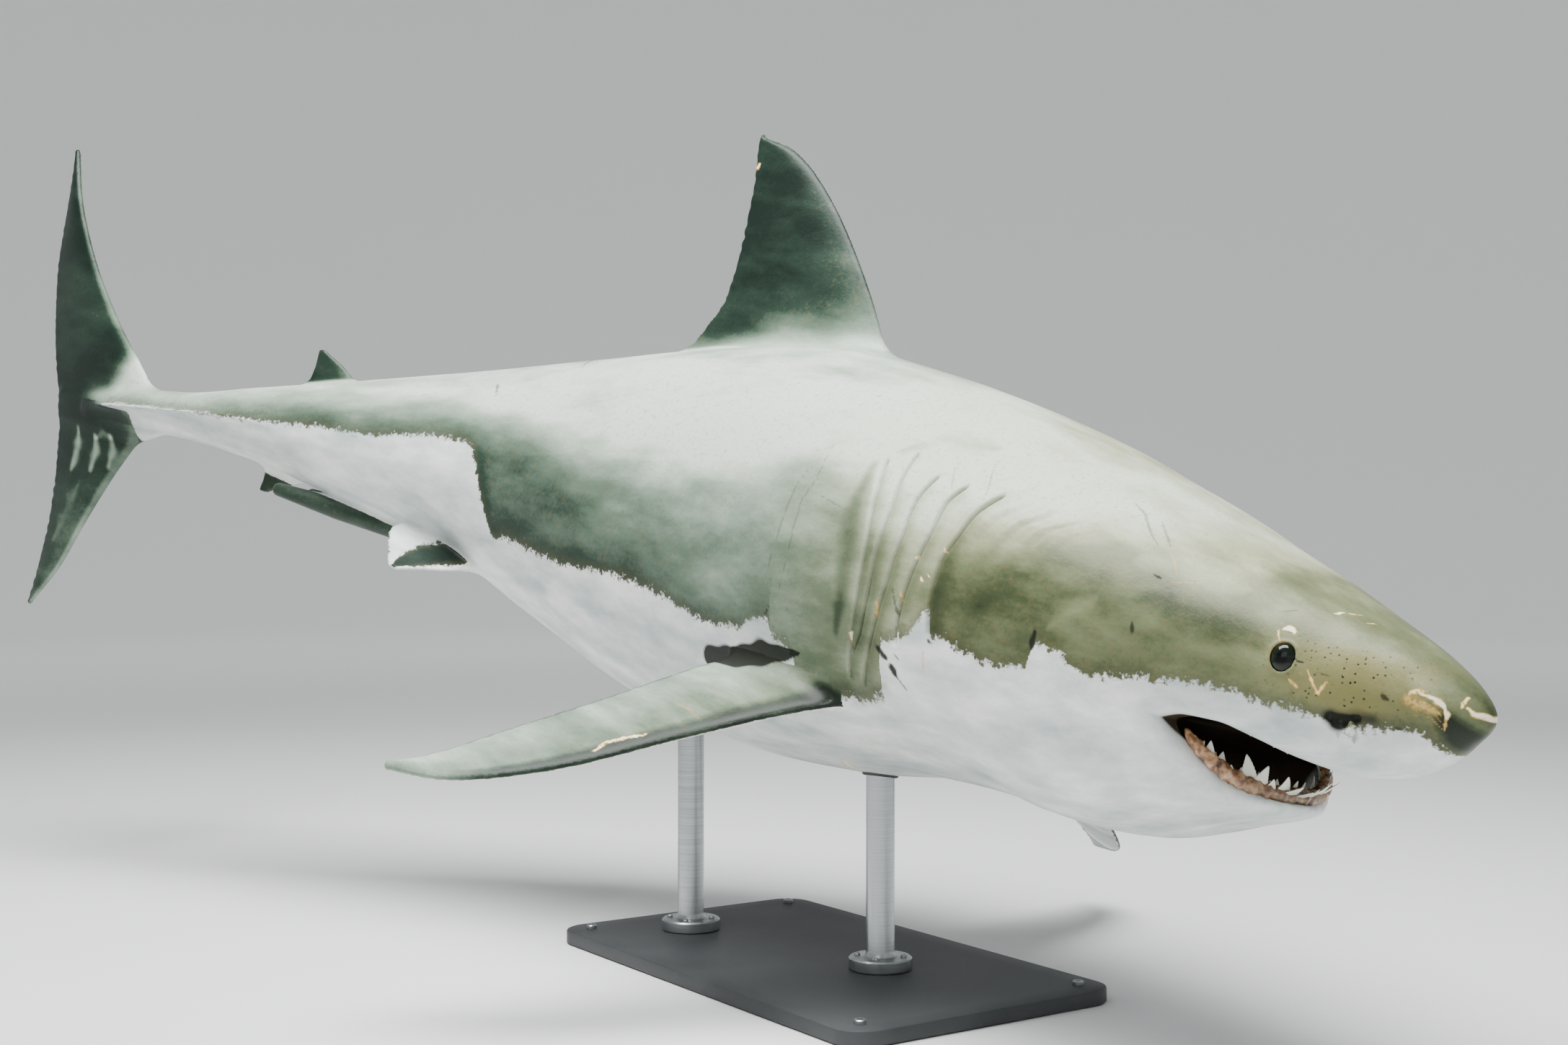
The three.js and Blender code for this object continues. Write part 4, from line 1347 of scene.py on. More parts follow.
# pale rings on the tail's lower lobe
RINGS = strokes(
    (((90.5, -1.9), (90.2, -3.0), (90.4, -4.4)), 0.8, 1.2, (0.5, 0.5), 1.0, 0.4),
    (((88.6, -2.1), (88.2, -3.0), (88.4, -4.2)), 0.6, 1.1, (0.5, 0.5), 1.0, 0.4),
    (((87.0, -1.9), (86.7, -2.7), (86.9, -3.7)), 0.6, 1.0, (0.5, 0.5), 1.0, 0.4),
    (((88.4, -2.2), (87.7, -1.8), (87.0, -2.0)), 0.5, 0.8, (0.5, 0.5), 1.0, 0.4),
    (((90.8, -9), (90.0, -7), (89.2, -5.0)), 0.9, 0.35, (0.2, 0.2), 1.0, 0.5),
)
SCARS = (
    *strokes(
        (((6.5, 1.5), (6.3, 1.62), (6.08, 1.5)), 0.13, 1, (0.3, 0.8)),
        (((6.6, 1.48), (6.5, 1.25), (6.36, 1.12)), 0.06, 0.6),
        (((5.16, 0.33), (4.95, 0.0), (4.68, -0.4), (4.5, 0.03)), 0.11, 0.58, (0.4, 0.8), 1.0, 0.8),
        (((5.75, -0.1), (5.6, -0.2), (5.35, -0.36)), 0.12, 0.5, (0.2, 0.8), 0.9, 0.6),
        (((2.08, 0.3), (1.96, 0.42), (1.76, 0.45)), 0.14, 0.7, (0.5, 0.9), 0.8, 0.6),
        (
            ((1.8, 0.36), (1.42, 0.3), (1.16, 0.14), (1.03, -0.08), (1.0, -0.24)),
            *(0.12, 1.1, (0.4, 0.8), 0.9, 0.8),
        ),
        (((2.1, 0.1), (1.3, -0.15)), 0.45, 0.4, (0.8, 0.8), 1.0, 0.6),
        (((1.95, 0.15), (1.5, 0.05), (1.15, -0.2)), 0.06, 0.5, (0.8, 0.8), 1.0, 0.6),
        (((0.68, 0.56), (0.69, 0.2)), 0.09, 0.75, (0.6, 0.6)), (((5.6, 2.45), (5.44, 2.55)), 0.08, 0.9),
        (((22.1, 1.35), (22.25, 1.15)), 0.09, 0.9), (((21.6, 0.5), (21.42, 0.35)), 0.1, 0.9),
        (((20.95, 1.95), (20.8, 1.6)), 0.07, 0.9), (((21.3, 0.75), (21.15, 0.6)), 0.05, 0.8),
        (((23.35, 0.15), (23.3, -0.15)), 0.06, 0.7),
        (((25.25, -2.4), (25.2, -2.75)), 0.13, 1, (0.9, 0.9)),
        (((20.85, -2.2), (20.85, -3.4)), 0.04, 0.5), (((22.55, 0.1), (22.35, -0.9)), 0.06, 0.45),
        (((23.7, -0.6), (23.75, -1.7)), 0.07, 0.45),
        (((31.1, -9.5), (31.2, -9.05), (30.9, -8.72), (30.5, -8.45)), 0.12, 0.95, (0.2, 0.7)),
    ),
    *strokes(
        (((5.4, 0.2), (5.25, 0.05)), 0.08, 0.4), (((1.0, -0.2), (1.04, -0.7)), 0.08, 0.5),
        (((1.85, -0.4), (1.4, -0.36), (1.06, -0.7)), 0.05, 0.4),
        (((1.7, -0.2), (1.3, -0.25), (1.05, -0.5)), 0.04, 0.35),
        (((5.36, 2.56), (5.02, 2.6)), 0.05, 0.75), (((4.68, 2.36), (4.44, 2.4)), 0.05, 0.75),
        (((11.25, 2.3), (10.6, 2.42), (9.7, 2.6)), 0.05, 0.4),
        (((11.9, 3.5), (11.5, 3.2), (10.95, 2.65)), 0.05, 0.42),
        (((31.8, -7.05), (30.7, -7.1), (29.8, -7.35)), 0.08, 0.3),
        fade=1.0,
    ),
    *strokes(
        (((0.55, 0.22), (0.34, 0.12), (0.05, 0.02)), 0.16, 1.1, (0.4, 1.0), 0.9, 0.8),
        (((47.2, 19.6), (47.6, 19.2)), 0.16, 0.9),
        side=None,
    ),
    *strokes(
        (((5.2, -0.1), (4.75, 0.2), (4.4, 0.15)), 0.09, 0.6),
        (((2.6, 0.35), (2.15, 0.1), (1.8, -0.2)), 0.12, 0.8, (0.4, 0.6)),
        (((22.1, 0.8), (22.2, 0.4)), 0.09, 0.8),
        side=Side.LEFT,
    ),
    *strokes(
        (((13.5, 2.2), (12.2, 2.5), (11.1, 2.4)), 0.06, 0.5),
        side=Side.LEFT,
        fade=1.0,
    ),
)
# black nicks, scratches and patches, with painted shade in and round the nostrils and at the pectoral
# fins' roots
DARKS = (
    *strokes(
        (((15.56, -0.55), (15.6, -1.15)), 0.17, 0.85, (0.6, 0.9)),
        (((11.65, 0.6), (11.55, 0.3)), 0.12, 0.7, (0.3, 1.0)),
        (((11.75, 2.5), (11.4, 2.42)), 0.07, 0.75),
        (((2.78, 0.02), (2.6, -0.12)), 0.13, 0.7, (0.8, 0.4)), (((5.8, 0.62), (5.3, 0.5)), 0.045, 0.85),
        (((5.1, 0.3), (4.3, 0.3)), 0.035, 0.6), (((7.0, 2.1), (6.5, 2.3)), 0.04, 0.4),
        (((2.35, -0.95), (2.1, -1.0)), 0.08, 0.5),
        (((15.05, 5.2), (14.1, 4.77), (12.9, 3.9), (12.4, 3.6)), 0.05, 0.45),
        (((13.3, 4.6), (12.6, 4.1), (11.95, 3.6)), 0.045, 0.4),
        (((31.0, 4.2), (31.4, 3.3), (31.3, 1.95), (31.4, 0.8), (31.5, -0.5)), 0.08, 0.35),
        (((30.6, 5.7), (30.2, 3.7), (30.5, 2.7), (30.4, 1.7), (30.2, 0.2), (30.4, -1.3)), 0.08, 0.35),
        (((29.4, 3.0), (27.75, 2.7)), 0.06, 0.35), (((31.1, -2.2), (31.5, -2.8)), 0.07, 0.7),
        (((21.5, 5.9), (20.6, 4.6), (20.3, 3.9)), 0.06, 0.35),
        (((22.9, 5.25), (22.2, 4.3)), 0.06, 0.35),
        (((23.4, -2.75), (23.0, -3.05)), 0.22, 0.8, (0.8, 0.6)),
        (((22.75, -3.35), (22.5, -3.65)), 0.24, 0.85, (1.0, 0.5)),
        (((22.5, -3.65), (21.9, -4.2)), 0.06, 0.7, (0.9, 0.1)),
        (((22.6, -2.75), (22.2, -3.0)), 0.06, 0.7), (((22.9, -0.2), (22.3, -1.6)), 0.07, 0.55),
        (((20.7, -1.9), (20.5, -1.95)), 0.1, 0.8), (((54.3, 8.2), (53.7, 7.3)), 0.1, 0.6),
        (((58.5, 5.7), (57.9, 4.9)), 0.1, 0.6),
        # painted shade where the pectoral fin's front meets the body
        (((23.4, -4.3), (25.2, -4.9), (27, -4.8)), 0.9, 0.3, (0.8, 0.5), 1.0),
    ),
    *strokes(
        (((7.4, 1.2), (6.9, 1.1)), 0.2, 0.25),
        fade=1.0,
    ),
    *strokes(
        # painted shade in the nostril and round its flap
        (((4.2, -1.15), (3.9, -1.2)), 0.42, 0.8, (0.9, 0.9), 1.0, 0.3),
        (((4.0, -1.05), (3.5, -0.9), (3.0, -0.85)), 0.46, 0.6, (0.9, 0.7), 1.0, 0.3),
        (((3.5, -1.3), (3.6, -1.8)), 0.2, 0.5, (0.5, 0.3), 1.0, 0.3),
        (((4.0, -1.35), (4.05, -1.75)), 0.16, 0.4, (0.5, 0.3), 1.0, 0.3),
        (((29.0, -3.85), (31, -4.2), (33, -4.7), (35, -5.05), (36.3, -5.2)), 0.8, 1, (0.1, 0.8), 0.4, 0.3),
        side=None,
    ),
    *strokes(
        (((16.2, 0.1), (16.0, -0.4)), 0.13, 0.7), (((44.0, 2.2), (43.0, 2.9), (42.2, 3.1)), 0.08, 0.5),
        (((35.5, 4.1), (34.6, 2.9)), 0.08, 0.4),
        side=Side.LEFT,
    ),
)


class Markings:
    """Where the skin is grey, white, pale, scarred or dark."""

    def paint(self, points: Array, body: Body) -> dict[str, Array]:
        """Works out the attributes that the skin's finish reads.

        Args:
            points: (s, y, z) rows on the skin.
            body: the straight body.

        Returns:
            Values for each point by attribute name.
        """
        s, y, z = points.T.astype(np.float32)
        closed = body.closed(s, y, z)

        # height above the border, and paleness of flank, back (painted top light), gills (painted
        # highlight and shade) and the back's middle line
        grey = z - BORDER(s)
        side, back = FLANK(s), BACK_WITH_TOP_LIGHT(s)
        # painted top light: above this line the skin is painted paler, as if lit from above
        tone = side + (back - side) * smooth_step(z - TOP_LIGHT_LINE(s), -2.2, 1.6)
        crown_spot = np.hypot(s - 7.9, (z - 3.3) * 1.4)
        tone = tone - 0.3 * bump(grey, 1.4) * (s > 31) - 0.5 * bump(crown_spot, 0.9)
        tone = tone + self.slit_highlight_and_shade(s, z) + sum(tint.cover(s, y, z) for tint in TINTS)
        tone = tone - 0.35 * bump(y, 2.4) * smooth_step(z, 2.5, 5) * smooth_step(s, 10, 14)
        grey, tone = self.fins(grey, tone, closed, s, y, z)

        # scars, a pale rim behind the eye, black marks, painted shade in the gill slits and nostrils, and
        # the inside of the mouth, painted dark as shade
        ball = ORBIT.ball(s, y, z)
        rear_rim = smooth_step(s + 0.6 * z, ORBIT.s + 0.3, ORBIT.s + 0.8)
        scar = np.maximum(most(SCARS, points), 0.4 * bump(ball - 0.05, 0.04) * rear_rim)
        dark = np.maximum(most(DARKS, points) * (closed < 1.0), self.slits(s, z, closed))
        hole, flap = [part.distance(s, np.abs(y), z) for part in (NOSTRIL.hole, NOSTRIL.tab)]
        # the inside of the mouth, painted dark as shade
        inner = smooth_step(closed, -0.12, -0.5) * (s < 15) * (ball > 0.15)
        # painted shade in the nostril's hollow
        dark = np.maximum(dark, 0.9 * bump(np.maximum(hole, 0), 0.16))
        pores = bump(s - 3.8, 2.4) * smooth_step(grey, 0.1, 0.7) * smooth_step(z, 1.7, 1.1)
        return {
            "place": points * PERCENT,
            "grey": grey,
            "tone": tone,
            "scar": scar * (inner < 0.5),
            "dark": dark * (1 - bump(np.maximum(flap, 0), 0.06)),
            "lining": inner * smooth_step(hole, 0.1, 0.35),
            "pores": pores * smooth_step(s, 0.9, 2.0),
        }

    def slits(self, s: Array, z: Array, closed: Array) -> Array:
        """Painted shade in the bottoms of the gill slits.

        Args:
            s, z: the points, seen from the side.
            closed: their distance from the skin with nothing carved.

        Returns:
            The darkness from 0 to 1.
        """
        grooves = GILLS.grooves(s, z)
        dark = np.max([within * bump(across - GILLS.behind, 0.06) for across, within in grooves], axis=0)
        return dark * (closed < 0.6) * GILLS.near(s)

    def slit_highlight_and_shade(self, s: Array, z: Array) -> Array:
        """Painted highlight just behind each gill slit, and painted shade just ahead of it, as changes of
        tone.

        Args:
            s, z: the points, seen from the side.

        Returns:
            The change of tone.
        """
        shade = np.zeros_like(s)
        for across, within in GILLS.grooves(s, z):
            # painted highlight behind the slit, painted shade ahead of it
            shade += within * (0.25 * bump(across - 0.16, 0.1) - 0.3 * bump(across + 0.25, 0.3))
        return shade * GILLS.near(s)

    def fins(self, grey: Array, tone: Array, closed: Array, *spot: Array) -> list[Array]:
        """Turns border and tone aside on the fins.

        Args:
            grey: height above the border.
            tone: how pale the skin is, from -1 to 1.
            closed: distance from the finless body.
            spot: s, y and z.

        Returns:
            The new grey and tone.
        """

        def chart(fin: Fin, thick: float, low: float, high: float) -> tuple[Array, Array, Array, Array]:
            """Span, chord and offset on the fin, and how surely a spot lies on it.

            Args:
                fin: the fin.
                thick: greatest offset that counts.
                low, high: distances from the finless body between which it comes in.

            Returns:
                One array for each.
            """
            span, chord, off, out = fin.chart(*spot)
            on = (out < 0.3) * (np.abs(off) < thick) * smooth_step(closed, low, high)
            return span, chord, off, on

        for fin in (FIRST_DORSAL, SECOND_DORSAL):
            span, chord, _, on = chart(fin, 1.2, 0.05, 0.3)
            rise = smooth_step(span + 0.22 * smooth_step(chord, 0.5, 1.0), 0.04, 0.38)
            deep = 0.7 - 1.45 * rise + 0.25 * smooth_step(span, 0.5, 0)
            deep = deep + 0.4 * smooth_step(chord, 0.4, 0.0)
            tone = tone + (deep - tone) * on
        for fin in PECTORALS.values():
            span, chord, off, on = chart(fin, 1.0, 0.05, 0.3)
            tip = 2.5 * smooth_step(span, 0.88, 0.97)
            upper = off * 8 + 0.6 + tip + 2 * smooth_step(span, 0.12, 0.0)
            pale = 0.05 + 0.2 * smooth_step(span, 0.1, 0.5) + 0.35 * smooth_step(chord, 0.1, 0.8)
            # painted shade under the rounded leading edge
            pale = pale - 1.0 * smooth_step(chord, 0.17, 0.03) * smooth_step(span, 0.97, 0.85)
            pale = pale - 0.8 * smooth_step(chord, 0.97, 1.0)
            grey, tone = grey + (upper - grey) * on, tone + (pale - tone) * on
        for fin in PELVICS.values():
            span, chord, off, on = chart(fin, 0.5, 0.0, 0.2)
            wide = 0.36 + 0.3 * span
            patch = np.minimum(chord - 0.07, wide - chord) * 5 + 0.1 - 1.2 * (span - 0.9).clip(0)
            grey = grey + (np.where(off > -0.02, patch, -1.5) - grey) * on
            tone = tone + (-0.8 - tone) * on
        on = chart(ANAL_FIN, 0.5, 0.1, 0.5)[-1]
        for rod in CLASPERS.values():
            near = smooth_step(rod.distance(*spot), 0.15, 0.05)
            on = np.maximum(on, near * smooth_step(closed, 0.1, 0.4))
        # dark grey: partly their own grey, partly painted shade
        grey, tone = grey + (0.6 - grey) * on, tone + (-0.45 - tone) * on
        return self.tail(grey, tone, *spot)

    def tail(self, grey: Array, tone: Array, s: Array, y: Array, z: Array) -> list[Array]:
        """Turns border and tone aside on the tail.

        Args:
            grey: height above the border.
            tone: how pale the skin is, from -1 to 1.
            s, y, z: the points.

        Returns:
            The new grey and tone.
        """
        upper, lower = smooth_step(s + 0.35 * z, 87.2, 89.5), smooth_step(s - 0.5 * z, 84.6, 86.6)
        tail = np.where(z > -0.2, upper, lower)
        # painted top light on the keel ridge, where the pale back reaches the tail
        ridge = 1.3 * bump(z - 0.35, 0.6) * smooth_step(s, 91.5, 88.5)
        lobe = np.where(z > 0, -0.95 + ridge, -0.85 + 0.25 * smooth_step(z, -3, -8))
        lobe = lobe + sum(ring.cover(s, y, z) for ring in RINGS)
        for part in (UPPER_LOBE, LOWER_LOBE):
            _, chord, _, out = part.chart(s, y, z)
            lobe = lobe + 0.6 * (out < 0.2) * smooth_step(chord, 0.09, 0.02)
            lobe = lobe + 0.2 * (z < -1) * (out < 0.2) * smooth_step(chord, 0.6, 0.1)
        return [grey + (3 - grey) * tail, tone + (lobe - tone) * tail]


@dataclass(frozen=True)
class SharkSkin:
    """Denticle skin, cast and airbrushed: satin under a faint wet film, with broad highlights."""

    # from the darkest fins to the pale back, whose paleness is partly painted top light
    greys: tuple[str, ...] = ("#111f18", "#26392e", "#5a6d5d", "#8f9f90", "#c5cfc2")
    olives: tuple[str, ...] = ("#1a2315", "#3f492f", "#6f7756", "#a3a888", "#c7cfbd")
    white: str = "#eef0ec"
    cloud: str = "#a9b6b6"
    rust: str = "#6f4d2a"
    tan: str = "#8b8049"
    outline: str = "#4d4a30"
    wound: tuple[str, ...] = ("#b0842f", "#e3b964", "#f6e2ac", "#fffbe9")
    black: str = "#12150d"
    # the inside of the mouth, painted dark as shade
    lining: str = "#43372b"
    roughness: float = 0.42
    patch_mm: float = 420.0  # broad clouds of lighter and darker skin
    mottle_mm: float = 70.0
    speckle_mm: float = 9.0
    ragged_mm: float = 26.0  # the torn edge between grey and white
    pore_mm: float = 9.5  # between pores
    grain_mm: float = 4.0  # denticles are 0.3 mm; drawn this coarse so that they show

    def material(self) -> Material:
        """Builds the nodes.

        Returns:
            The skin's material.
        """
        nodes = Nodes("shark_skin")
        names = ("place", "grey", "tone", "scar", "dark", "lining", "pores")
        place, grey, tone, scar, dark, lining, pores = [nodes.read(name) for name in names]
        drawn_out = nodes.add("VectorMath", {0: place, 1: (0.35, 1.0, 1.0)}, operation="MULTIPLY")
        clouds = nodes.noise(drawn_out, self.patch_mm, 4.0, 0.55)
        mottle = nodes.noise(drawn_out, self.mottle_mm, 5.0, 0.6)
        speckle = nodes.noise(place, self.speckle_mm, 2.0, 0.7)
        ragged = nodes.noise(place, self.ragged_mm, 4.0, 0.7)
        grain = nodes.noise(place, self.grain_mm, 1.0, 0.5)

        # how pale the skin is here: the painted tone, with its painted top light, highlights and shade,
        # clouded and mottled
        level = nodes.plus(nodes.plus(tone, clouds, 1.3), mottle, 1.4)
        level = nodes.span(nodes.plus(level, speckle, 0.25), 0.48, 2.48)
        steps = (0.0, 0.25, 0.5, 0.75, 1.0)
        body = nodes.ramp(level, *zip(steps, self.greys))
        head = nodes.ramp(level, *zip(steps, self.olives))
        rearward = nodes.span(nodes.add("SeparateXYZ", {0: place}), 0.85, 1.4)
        back = nodes.mix(rearward, head, body)
        freckles = nodes.span(speckle, 0.54, 0.8, 0.45)
        freckles = nodes.times(freckles, nodes.span(level, 0.12, 0.34))
        back = nodes.mix(freckles, back, self.rust)
        shaded = nodes.plus(mottle, clouds, 0.6)
        back = nodes.mix(nodes.times(pores, 0.5), back, self.tan)
        belly = nodes.ramp(shaded, (0.6, self.white), (1.0, self.cloud))

        # the torn border, with a thin dark line on its grey side
        torn = nodes.plus(nodes.plus(grey, ragged, 1.0), speckle, 0.9)
        torn = nodes.add("Math", {0: torn, 1: 0.4}, operation="SUBTRACT")
        edge = nodes.span(torn, 0.47, 0.65)
        back = nodes.mix(nodes.span(torn, 1.15, 0.6, 0.5), back, self.outline)
        colour = nodes.mix(edge, belly, back)
        cells = {"Vector": place, "Scale": 1000 / self.pore_mm, "Randomness": 1.0}
        spots = nodes.add("TexVoronoi", cells).outputs["Distance"]
        holes = nodes.times(nodes.span(spots, 0.24, 0.12), pores)
        colour = nodes.mix(holes, colour, self.black)

        # wounds: yellowish rims round white middles
        scarred = nodes.times(scar, nodes.span(speckle, 0.3, 0.55, start=0.45))
        wound = nodes.ramp(scarred, *zip((0.15, 0.35, 0.6, 0.85), self.wound))
        colour = nodes.mix(nodes.span(scarred, 0.08, 0.6), colour, wound)
        # black marks, with painted shade in the gill slits and nostrils
        stain_and_shade = nodes.span(dark, 0.05, 0.8, 0.97)
        colour = nodes.mix(stain_and_shade, colour, self.black)
        # the inside of the mouth, painted dark as shade
        colour = nodes.mix(nodes.span(lining, 0.05, 0.5), colour, self.lining)

        rough = nodes.plus(nodes.plus(self.roughness - 0.1, mottle, 0.2), stain_and_shade, 0.35)
        height = nodes.plus(nodes.plus(speckle, grain, 0.4), mottle, 0.8)
        height = nodes.plus(height, holes, -1.0)
        return nodes.surface(
            {
                "Base Color": colour,
                "Roughness": rough,
                "IOR": 1.4,
                "Specular IOR Level": 0.3,
                "Normal": nodes.bump(height, 0.3, 0.0016),
                "Coat Weight": 0.05,
                "Coat Roughness": 0.25,
            }
        )


@dataclass
class Skin:
    """The one skin that covers the whole shark."""

    body: Body = field(default_factory=Body)
    markings: Markings = field(default_factory=Markings)
    finish: SharkSkin = SharkSkin()

    NODES = (
        *("head", "lower_jaw", "gill_region", "trunk_front", "trunk_rear", "tail_stock", "tail_fin"),
        *("first_dorsal_fin", "second_dorsal_fin", "anal_fin", "pectoral_fin_left"),
        *("pectoral_fin_right", "pelvic_fin_left", "pelvic_fin_right", "clasper_left", "clasper_right"),
    )

    def pose(self, points: Array) -> Array:
        """Takes points on the skin to the world; the pectoral fins are carried stiffly.

        Args:
            points: (s, y, z) rows.

        Returns:
            World places in metres.
        """
        s, y, z = points.T
        away = self.body.closed(*points.T.astype(np.float32))
        # the box that holds both pectoral fins and nothing else that stands out from the trunk
        on_fin = (s > 24) & (s < 39.5) & (z < 0) & (np.abs(y) > 2.5)
        stiff = (smooth_step(away, 0.1, 1.3) * on_fin)[:, None]
        return SPINE.bend(points) * (1 - stiff) + SPINE.bend(points, PECTORAL_STATION) * stiff

    def build(self) -> Piece:
        """Meshes, marks and dresses the skin.

        Returns:
            The skin's object.
        """
        lattice = Lattice(coarse=1.0)
        points, quads = lattice.net(self.body.distance)
        points = settle(points, self.body.distance)
        skin = mesh_object("shark_skin", self.pose(points), quads)
        for name, values in self.markings.paint(points, self.body).items():
            add_attribute(skin, name, values)
        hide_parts(*self.NODES)
        return put_on(skin, self.finish.material())


# ---- Jaws, eyes and stand ----


def rings_to_quads(rings: int, sides: int) -> list[tuple[int, ...]]:
    """Quads between closed rings of equal size, one after another.

    Args:
        rings: how many.
        sides: points in each.

    Returns:
        Four vertex numbers for each quad.
    """
    return [
        (a * sides + k, a * sides + n, (a + 1) * sides + n, (a + 1) * sides + k)
        for a in range(rings - 1)
        for k, n in zip(range(sides), [*range(1, sides), 0])
    ]


def around(sides: int) -> Array:
    """Angles evenly round a circle."""
    return np.linspace(0, 2 * math.pi, sides, endpoint=False)


@dataclass
class Shape:
    """Points and faces gathered from several closed parts."""

    points: list[Array] = field(default_factory=list)
    faces: list[tuple[int, ...]] = field(default_factory=list)
    heights: list[float] = field(default_factory=list)  # of teeth, from root to tip
    count: int = 0

    def add_rings(self, rings: Sequence[Array]) -> None:
        """Adds a closed part made of rings, with a fan at each end.

        Args:
            rings: the points of each ring.
        """
        sides = len(rings[0])
        first, last, at = len(rings) * sides, len(rings) * sides + 1, (len(rings) - 1) * sides
        faces = rings_to_quads(len(rings), sides)
        faces += [(first, (k + 1) % sides, k) for k in range(sides)]
        faces += [(last, at + k, at + (k + 1) % sides) for k in range(sides)]
        self.faces += [tuple(v + self.count for v in face) for face in faces]
        self.points += [*rings, *(ring.mean(0, keepdims=True) for ring in (rings[0], rings[-1]))]
        self.count += first + 2

    def to_object(self, name: str, crease: float | None = None) -> Piece:
        """Makes the object, with its faces turned outwards.

        Args:
            name: name of the piece.
            crease: angle in degrees above which an edge stays sharp.

        Returns:
            The object.
        """
        piece = mesh_object(name, np.concatenate(self.points), self.faces)
        mesh = bmesh.new()
        mesh.from_mesh(piece.data)
        bmesh.ops.recalc_face_normals(mesh, faces=mesh.faces)
        mesh.to_mesh(piece.data)
        mesh.free()
        piece.data.shade_smooth()
        if crease is not None:
            piece.data.set_sharp_from_angle(angle=math.radians(crease))
        return piece

    def bent_object(self, name: str) -> Piece:
        """Bends the points with the body, makes the object, and keeps the straight points as place.

        Args:
            name: of the piece.

        Returns:
            The mesh object.
        """
        straight = np.concatenate(self.points)
        self.points = [SPINE.bend(straight)]
        piece = self.to_object(name)
        add_attribute(piece, "place", straight * PERCENT)
        return piece


class Row(Enum):
    """Which jaw."""

    UPPER = "upper"
    LOWER = "lower"


@dataclass(frozen=True)
class Gum:
    """Wet gum, cast in tinted resin: mottled flesh colours under a clear coat, so it glistens."""

    flesh: str = "#ab7c58"
    deep: str = "#453326"
    pale: str = "#d9bd92"
    roughness: float = 0.35
    lump_mm: float = 11.765
    vein_mm: float = 4.0

    def material(self) -> Material:
        """Builds the nodes, with painted shade that darkens the gum towards the front; the gum's material.
        """
        nodes = Nodes("wet_gum")
        place = nodes.read("place", "Vector")
        lumps = nodes.noise(place, self.lump_mm, 4.0)
        veins = nodes.noise(place, self.vein_mm, 3.0)
        base = nodes.ramp(lumps, (0.32, self.deep), (0.5, self.flesh), (0.72, self.pale))
        # painted shade: the gum darkens towards the front
        front = nodes.span(nodes.add("SeparateXYZ", {0: place}), 0.37, 0.31, 0.7)
        base = nodes.mix(front, base, self.deep)
        return nodes.surface(
            {
                "Normal": nodes.bump(nodes.plus(lumps, veins, 0.5), 0.6, 0.003),
                "Base Color": base,
                "Roughness": self.roughness,
                "IOR": 1.4,
                "Coat Weight": 0.5,
                "Coat Roughness": 0.15,
                "Subsurface Weight": 0.1,
                "Subsurface Scale": 0.01,
            }
        )


@dataclass(frozen=True)
class Enamel:
    """Tooth enamel, cast in ivory resin and polished: pale, and yellower at the root."""

    tip: str = "#cdd0c1"
    root: str = "#8f866a"
    roughness: float = 0.22
    crack_mm: float = 3.03  # between growth cracks

    def material(self) -> Material:
        """Builds the nodes; the teeth's material."""
        nodes = Nodes("tooth_enamel")
        place, height = nodes.read("place", "Vector"), nodes.read("height", "Fac")
        cracks = nodes.noise(place, self.crack_mm, 4.0)
        base = nodes.ramp(nodes.plus(height, cracks, 0.35), (0.1, self.root), (0.55, self.tip))
        relief = nodes.bump(cracks, 0.2, 0.001)
        return nodes.surface(
            {"Base Color": base, "Roughness": self.roughness, "IOR": 1.62, "Normal": relief}
        )


